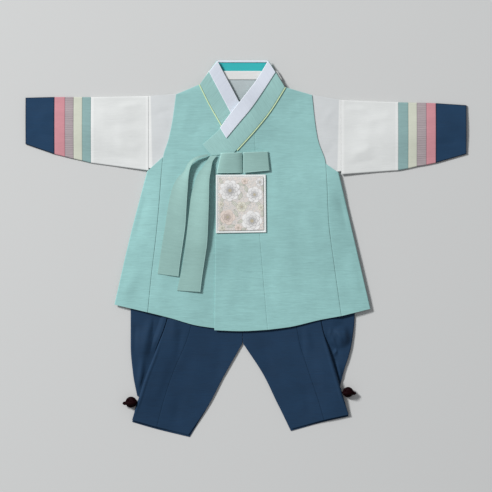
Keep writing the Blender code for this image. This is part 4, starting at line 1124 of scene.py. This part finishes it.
# Badge
# A square of flowered brocade with a white satin border, appliqued below the bow.
BORDER_WHITE = (0.78, 0.81, 0.8)
BADGE_OUTLINE = ((-48.1, 118.3), (31.6, 118.6), (-48.1, 24.9), (32.2, 26.3))
BADGE_BORDER = 3.7
RIM_LIFT = 0.8           # the border is turned over a cord, so it stands up round the brocade
RIM_END = 3.4
RIM_RAMP = 0.9
BORDER_STITCH_IN = 0.9
BORDER_STITCH_PITCH = 3.4

GROUND = (0.61, 0.59, 0.566)
PETAL = {"white": (0.8, 0.795, 0.785), "peach": (0.76, 0.665, 0.6), "gold": (0.72, 0.705, 0.61)}
LEAF = (0.64, 0.645, 0.57)
OUTLINE = {"white": (0.3, 0.29, 0.29), "peach": (0.36, 0.27, 0.225), "gold": (0.34, 0.3, 0.22)}
# Flowers: X, Y, radius, petals, rings of petals, turn and colour; leaves: X, Y, heading, length, width
FLOWERS = (
    (-38, 33, 5, 5, 1, 0.4, "gold"), (-12.5, 33.5, 6, 5, 1, 0.9, "peach"), (24, 66, 5, 5, 1, 0.2, "gold"),
    (-2, 108, 5.4, 5, 1, 2, "peach"), (-40, 71, 4.6, 5, 1, 0.1, "gold"),
    (22, 106.5, 6.8, 5, 2, 0.7, "white"), (-7, 67, 8.6, 6, 2, 0, "gold"),
    (-29.5, 50.5, 12.6, 5, 3, 1.3, "peach"), (13.5, 86.5, 13.2, 7, 3, 0.4, "white"),
    (-25.5, 93, 17.4, 9, 4, 0.2, "white"), (9.5, 44.5, 17, 7, 4, 0.9, "white"))
LEAVES = (
    (-18, 72, 2.4, 15, 5.4), (-9, 84, 1.2, 14, 5), (2, 72, 0.4, 13, 5), (-16, 57, 5.2, 14, 5.2),
    (-38, 79, 4.6, 12, 4.6), (0, 96, 1.9, 13, 5), (27, 96, 5, 12, 4.6), (20, 72, 5.6, 13, 4.8),
    (-8, 44, 3.6, 13, 5), (-24, 36, 3.4, 13, 4.8), (-40, 62, 1.3, 11, 4.4), (26, 56, 1.6, 12, 4.6),
    (-40, 108, 5.2, 12, 4.6), (-8, 103, 2.9, 12, 4.4), (-4, 31, 0.3, 10, 3.8), (-40, 43, 4.9, 11, 4.2))
BRAID_RISE = 0.14        # height of one layer of the woven relief


def flowered(xy):
    """Colour and height of the brocade at each point: leaves and blossoms on a mottled ground.

    The numbers in it are lengths in millimetres and shares of a colour or of the relief.
    """
    x, y = xy.T
    wave = np.sin(1.15 * x + 1.9 * np.sin(0.47 * y + 1.0)) * np.sin(1.05 * y + 1.7 * np.sin(0.52 * x))
    scroll = np.exp(-(np.sin(2.2 * wave + 0.35 * x - 0.3 * y) / 0.3) ** 2)
    colour = np.array(GROUND) * (1.13 + 0.08 * wave - 0.42 * scroll)[:, None]
    colour = np.where((wave > 0.4)[:, None], colour * (1.08, 0.99, 0.94), colour)
    height = 0.3 * BRAID_RISE * wave

    def put(mask, fill, top):
        nonlocal colour, height
        colour = np.where(mask[:, None], fill, colour)
        height = np.where(mask, top, height)

    for leaf_x, leaf_y, heading, length, width in LEAVES:
        along = (x - leaf_x) * np.cos(heading) + (y - leaf_y) * np.sin(heading)
        side = (y - leaf_y) * np.cos(heading) - (x - leaf_x) * np.sin(heading)
        share = 2 * along / length
        half = width / 2 * np.clip(1 - share ** 2, 0, 1)
        line = np.exp(-((np.abs(side) - half) / 0.45) ** 2) + np.exp(-(side / 0.4) ** 2)
        vein = 0.5 + 0.5 * np.cos(2.6 * (along - np.abs(side)))
        line = np.clip(line, 0, 1)
        fill = np.array(LEAF) * ((0.92 + 0.16 * vein) * (1 - 0.42 * line))[:, None]
        put((np.abs(side) < half + 0.3) & (np.abs(share) < 1), fill, BRAID_RISE * (0.9 - 0.5 * line))
    for centre_x, centre_y, radius, petals, rings, turn, tint in FLOWERS:
        r = np.hypot(x - centre_x, y - centre_y)
        angle = np.arctan2(y - centre_y, x - centre_x) + turn
        shade = 0.66 + 0.34 * ease(r / radius / 0.62)
        for ring in range(rings):
            reach = radius * (1 - ring / (rings + 0.6))
            lobe = np.abs(np.cos(petals * angle / 2 + ring * 0.5 * np.pi))
            s = r / (reach * (0.80 + 0.20 * lobe ** 0.7))
            line = np.exp(-((1 - s) * reach / 0.62) ** 2)
            notch = np.exp(-(lobe * r * 2 / petals / 0.42) ** 2) * ease((s - 0.35) / 0.3)
            line = np.clip(line + 0.8 * notch, 0, 1) * (0.62 + 0.09 * ring - 0.2 * np.sin(angle + radius))
            streak = 0.5 + 0.5 * np.cos(petals * angle * 5 + ring)
            body = np.array(PETAL[tint]) * (0.80 + 0.18 * ease(s) + 0.08 * streak - 0.06 * ring)[:, None]
            fill = body * (shade * (1 - line))[:, None] + np.array(OUTLINE[tint]) * line[:, None]
            put(s < 1, fill, BRAID_RISE * (1.2 + 0.45 * ring - 0.9 * line + 0.3 * (1 - s)))
        eye = r / (radius * 0.16)
        dots = 0.5 + 0.5 * np.sin(3.1 * x) * np.sin(3.1 * y)
        put(eye < 1, np.array(OUTLINE["gold"]) * (1.0 + 0.8 * dots)[:, None], BRAID_RISE * (2.2 + 0.5 * dots))
    return colour, height


def rim_distance(xy):
    """How far each point is inside the badge's outer edge."""
    low, high = np.min(BADGE_OUTLINE, axis=0), np.max(BADGE_OUTLINE, axis=0)
    return np.minimum(xy - low, high - xy).min(axis=1)


border_satin = satin("white border satin", BORDER_WHITE, 0.6)
brocade = woven("flowered brocade", GROUND, slub=0.03, mottle=0.04, bump=0.00004)
design = node(brocade.node_tree, "ShaderNodeAttribute", attribute_name="design")
weave_node = [item for item in brocade.node_tree.nodes if item.type == "GROUP"][0]
for socket in ("Colour", "Edge Colour"):
    brocade.node_tree.links.new(design.outputs["Color"], weave_node.inputs[socket])
badge_backing = quad(*BADGE_OUTLINE)
piece = flat("badge_border_cloth", border_satin, badge_backing, on_band_left, 90, 100, crowd=(0.13, 0.13),
             lift=lambda u, v, xy: RIM_LIFT * ease((RIM_END - rim_distance(xy)) / RIM_RAMP))
fit(piece, "badge_border")
on_badge = lay(badge_backing, margin=TRIM_MARGIN, ramp=TRIM_RAMP)


def badge_inside(step):
    """The badge's corners, moved in by a step."""
    inward = np.sign(np.mean(BADGE_OUTLINE, axis=0) - BADGE_OUTLINE)
    return as_run(np.add(BADGE_OUTLINE, inward * step))


hem = badge_inside(BORDER_STITCH_IN)
for edge, (start, end) in enumerate(((0, 1), (1, 3), (3, 2), (2, 0))):
    run = (hem[start], hem[end])
    stitches(f"badge_border_stitches_{edge}", run, on_band_left, RIM_LIFT, BORDER_STITCH_PITCH)
piece = flat("badge_cloth", brocade, quad(*badge_inside(BADGE_BORDER)), on_badge, 130, 154,
             lambda u, v, xy: flowered(xy)[1], crowd=(0.0, 0.0))
woven_in, _ = flowered(np.array([vert.co[:2] for vert in piece.data.vertices]) / MM)
painted = piece.data.attributes.new("design", "FLOAT_COLOR", "POINT")
painted.data.foreach_set("color", np.column_stack((woven_in, np.ones(len(woven_in)))).ravel())
fit(piece, "badge")

# Ribbon tails
# Two long mint ribbons come out from under the collar's end on edge, and turn to lie flat
# down the front, with their right edges still standing up.
RIBBON_MINT = (0.273, 0.45, 0.417)
RIBBON_RIM_HIGHLIGHT = (0.42, 0.66, 0.62)
RIBBONS = {
    "under": (((-62, 151.5), (-80, 147), (-93, 136.5), (-100.2, 123), (-109.7, 113.5),
               (-118.5, 95.3), (-124.4, 69.2), (-130.5, 30), (-134.5, 6), (-141.6, -40)),
              ((-60.2, 148.6), (-77.7, 143), (-88.1, 131.8), (-91.6, 116.1), (-93.2, 95.3), (-94.5, 78),
               (-96.9, 38), (-100.1, 14), (-106, -26), (-108.2, -44.4))),
    "over": (((-57.5, 148.2), (-67.3, 133.4), (-79.4, 114.3), (-83.8, 99.6), (-88.1, 82.2), (-91.5, 54),
              (-96.1, 14), (-101.7, -26), (-110.5, -66.8)),
             ((-46.5, 149.4), (-53.4, 138.6), (-56.4, 123), (-58.6, 108.2), (-59.3, 78), (-61.7, 14),
              (-66.5, -21.2), (-69.7, -42), (-73.2, -69.2)))}
RIBBON_LIFT = {"under": ((0, 2), (0.14, 8), (0.4, 4.5), (0.6, 2.2), (1, 1.2)),
               "over": ((0, 2), (0.12, 8), (0.42, 8), (0.62, 4.5), (0.72, 2.2), (1, 1))}
RIBBON_ON_EDGE = 0.3
RIBBON_WIDTH = 34.0

# The ribbon silk's lighter edge colour is a painted highlight: along the tails' raised right edges and all
# round the bow.
ribbon_silk = woven("mint ribbon silk", RIBBON_MINT, RIBBON_RIM_HIGHLIGHT, 0.9, slub=0.05, mottle=0.03)
for name in RIBBONS:
    left, right = RIBBONS[name]

    def rise(u, v, xy):
        whole = 1 - ease(v / RIBBON_ON_EDGE)
        return np.interp(v, *np.transpose(RIBBON_LIFT[name])) * (whole + (1 - whole) * ease(u))
    piece = flat(f"ribbon_{name}_cloth", ribbon_silk, band_between(left, right), on_coat, 28, 140, rise,
                 strip=True, gap=lambda u, v: (1 - u) * RIBBON_WIDTH)
    fit(piece, "ribbon")

# Bow
# The bow is a flat wrap of the same ribbon beside one flat loop, pressed to two boxes.
BOW_WRAP = ((-40.1, 153.2), (-5.9, 154), (-47, 120.9), (-5.4, 121.5))
BOW_LOOP = ((-4.4, 154.3), (35.1, 155.6), (-4.4, 121.2), (38.3, 125.2))
BOW_LIFT = 2.4
BOW_LOOP_LIFT = 1.2
BOW_LOOP_RETURN = 0.9

piece = flat("bow_wrap_cloth", ribbon_silk, quad(*BOW_WRAP), on_band_left, 30, 24,
             lambda u, v, xy: BOW_LIFT * (1 - (2 * u - 1) ** 4))
fit(piece, "ribbon")
loop_left, loop_right = (BOW_LOOP[2], BOW_LOOP[0]), (BOW_LOOP[3], BOW_LOOP[1])
on_loop = lay(quad(*BOW_LOOP))
piece = folded("bow_loop_cloth", ribbon_silk, loop_left, loop_right, BOW_LOOP_RETURN,
               (on_band_left, on_loop), 24,
               lambda v, xy, on_top: BOW_LOOP_LIFT * np.sin(np.pi * np.clip(on_top, 0.0, 1.0)))
fit(piece, "ribbon")

# Floor, light and camera
# A plain pale floor, a large soft light from the upper left with a dim even fill, and a
# camera that looks straight down through a long lens.
FLOOR = (0.6, 0.605, 0.6)
FLOOR_DROP = 0.0003
FLOOR_SIZE = 6.0
LIGHT_PLACE = (-5.2, 3.8, 5.2)
LIGHT_SIZE = 1.8
LIGHT_POWER = 725.0
FILL = (0.95, 0.97, 1.0)
FILL_STRENGTH = 0.32
VIEW_WIDTH = 0.7872
CAMERA_HEIGHT = 4.01
CAMERA_TARGET_HEIGHT = 0.01    # the view is as wide as stated at this height
CAMERA_Y = 0.0044
CAMERA_SENSOR = 36.0

bm = bmesh.new()
bmesh.ops.create_grid(bm, x_segments=1, y_segments=1, size=FLOOR_SIZE)
for vert in bm.verts:
    vert.co.z = -FLOOR_DROP
floor_mesh = bpy.data.meshes.new("floor")
bm.to_mesh(floor_mesh)
bm.free()
floor_paint = bpy.data.materials.new("floor paint")
floor_paint.use_nodes = True
floor_shader = floor_paint.node_tree.nodes["Principled BSDF"]
floor_shader.inputs["Base Color"].default_value = (*FLOOR, 1.0)
floor_shader.inputs["Roughness"].default_value = 0.9
floor_shader.inputs["Specular IOR Level"].default_value = 0.1
floor_mesh.materials.append(floor_paint)
floor = bpy.data.objects.new("floor", floor_mesh)
bpy.context.collection.objects.link(floor)

key_data = bpy.data.lights.new("key light", "AREA")
key_data.shape = "DISK"
key_data.size = LIGHT_SIZE
key_data.energy = LIGHT_POWER
key_light = bpy.data.objects.new("key light", key_data)
key_light.location = LIGHT_PLACE
key_light.rotation_euler = (-key_light.location).to_track_quat("-Z", "Y").to_euler()
bpy.context.collection.objects.link(key_light)

world = bpy.data.worlds.new("studio")
world.use_nodes = True
background = world.node_tree.nodes["Background"]
background.inputs["Color"].default_value = (*FILL, 1.0)
background.inputs["Strength"].default_value = FILL_STRENGTH
bpy.context.scene.world = world
bpy.context.scene.view_settings.view_transform = "Standard"

camera_data = bpy.data.cameras.new("camera")
camera_data.sensor_width = CAMERA_SENSOR
camera_data.lens = CAMERA_SENSOR * (CAMERA_HEIGHT - CAMERA_TARGET_HEIGHT) / VIEW_WIDTH
camera = bpy.data.objects.new("camera", camera_data)
camera.location = (0.0, CAMERA_Y, CAMERA_HEIGHT)
bpy.context.collection.objects.link(camera)
bpy.context.scene.camera = camera
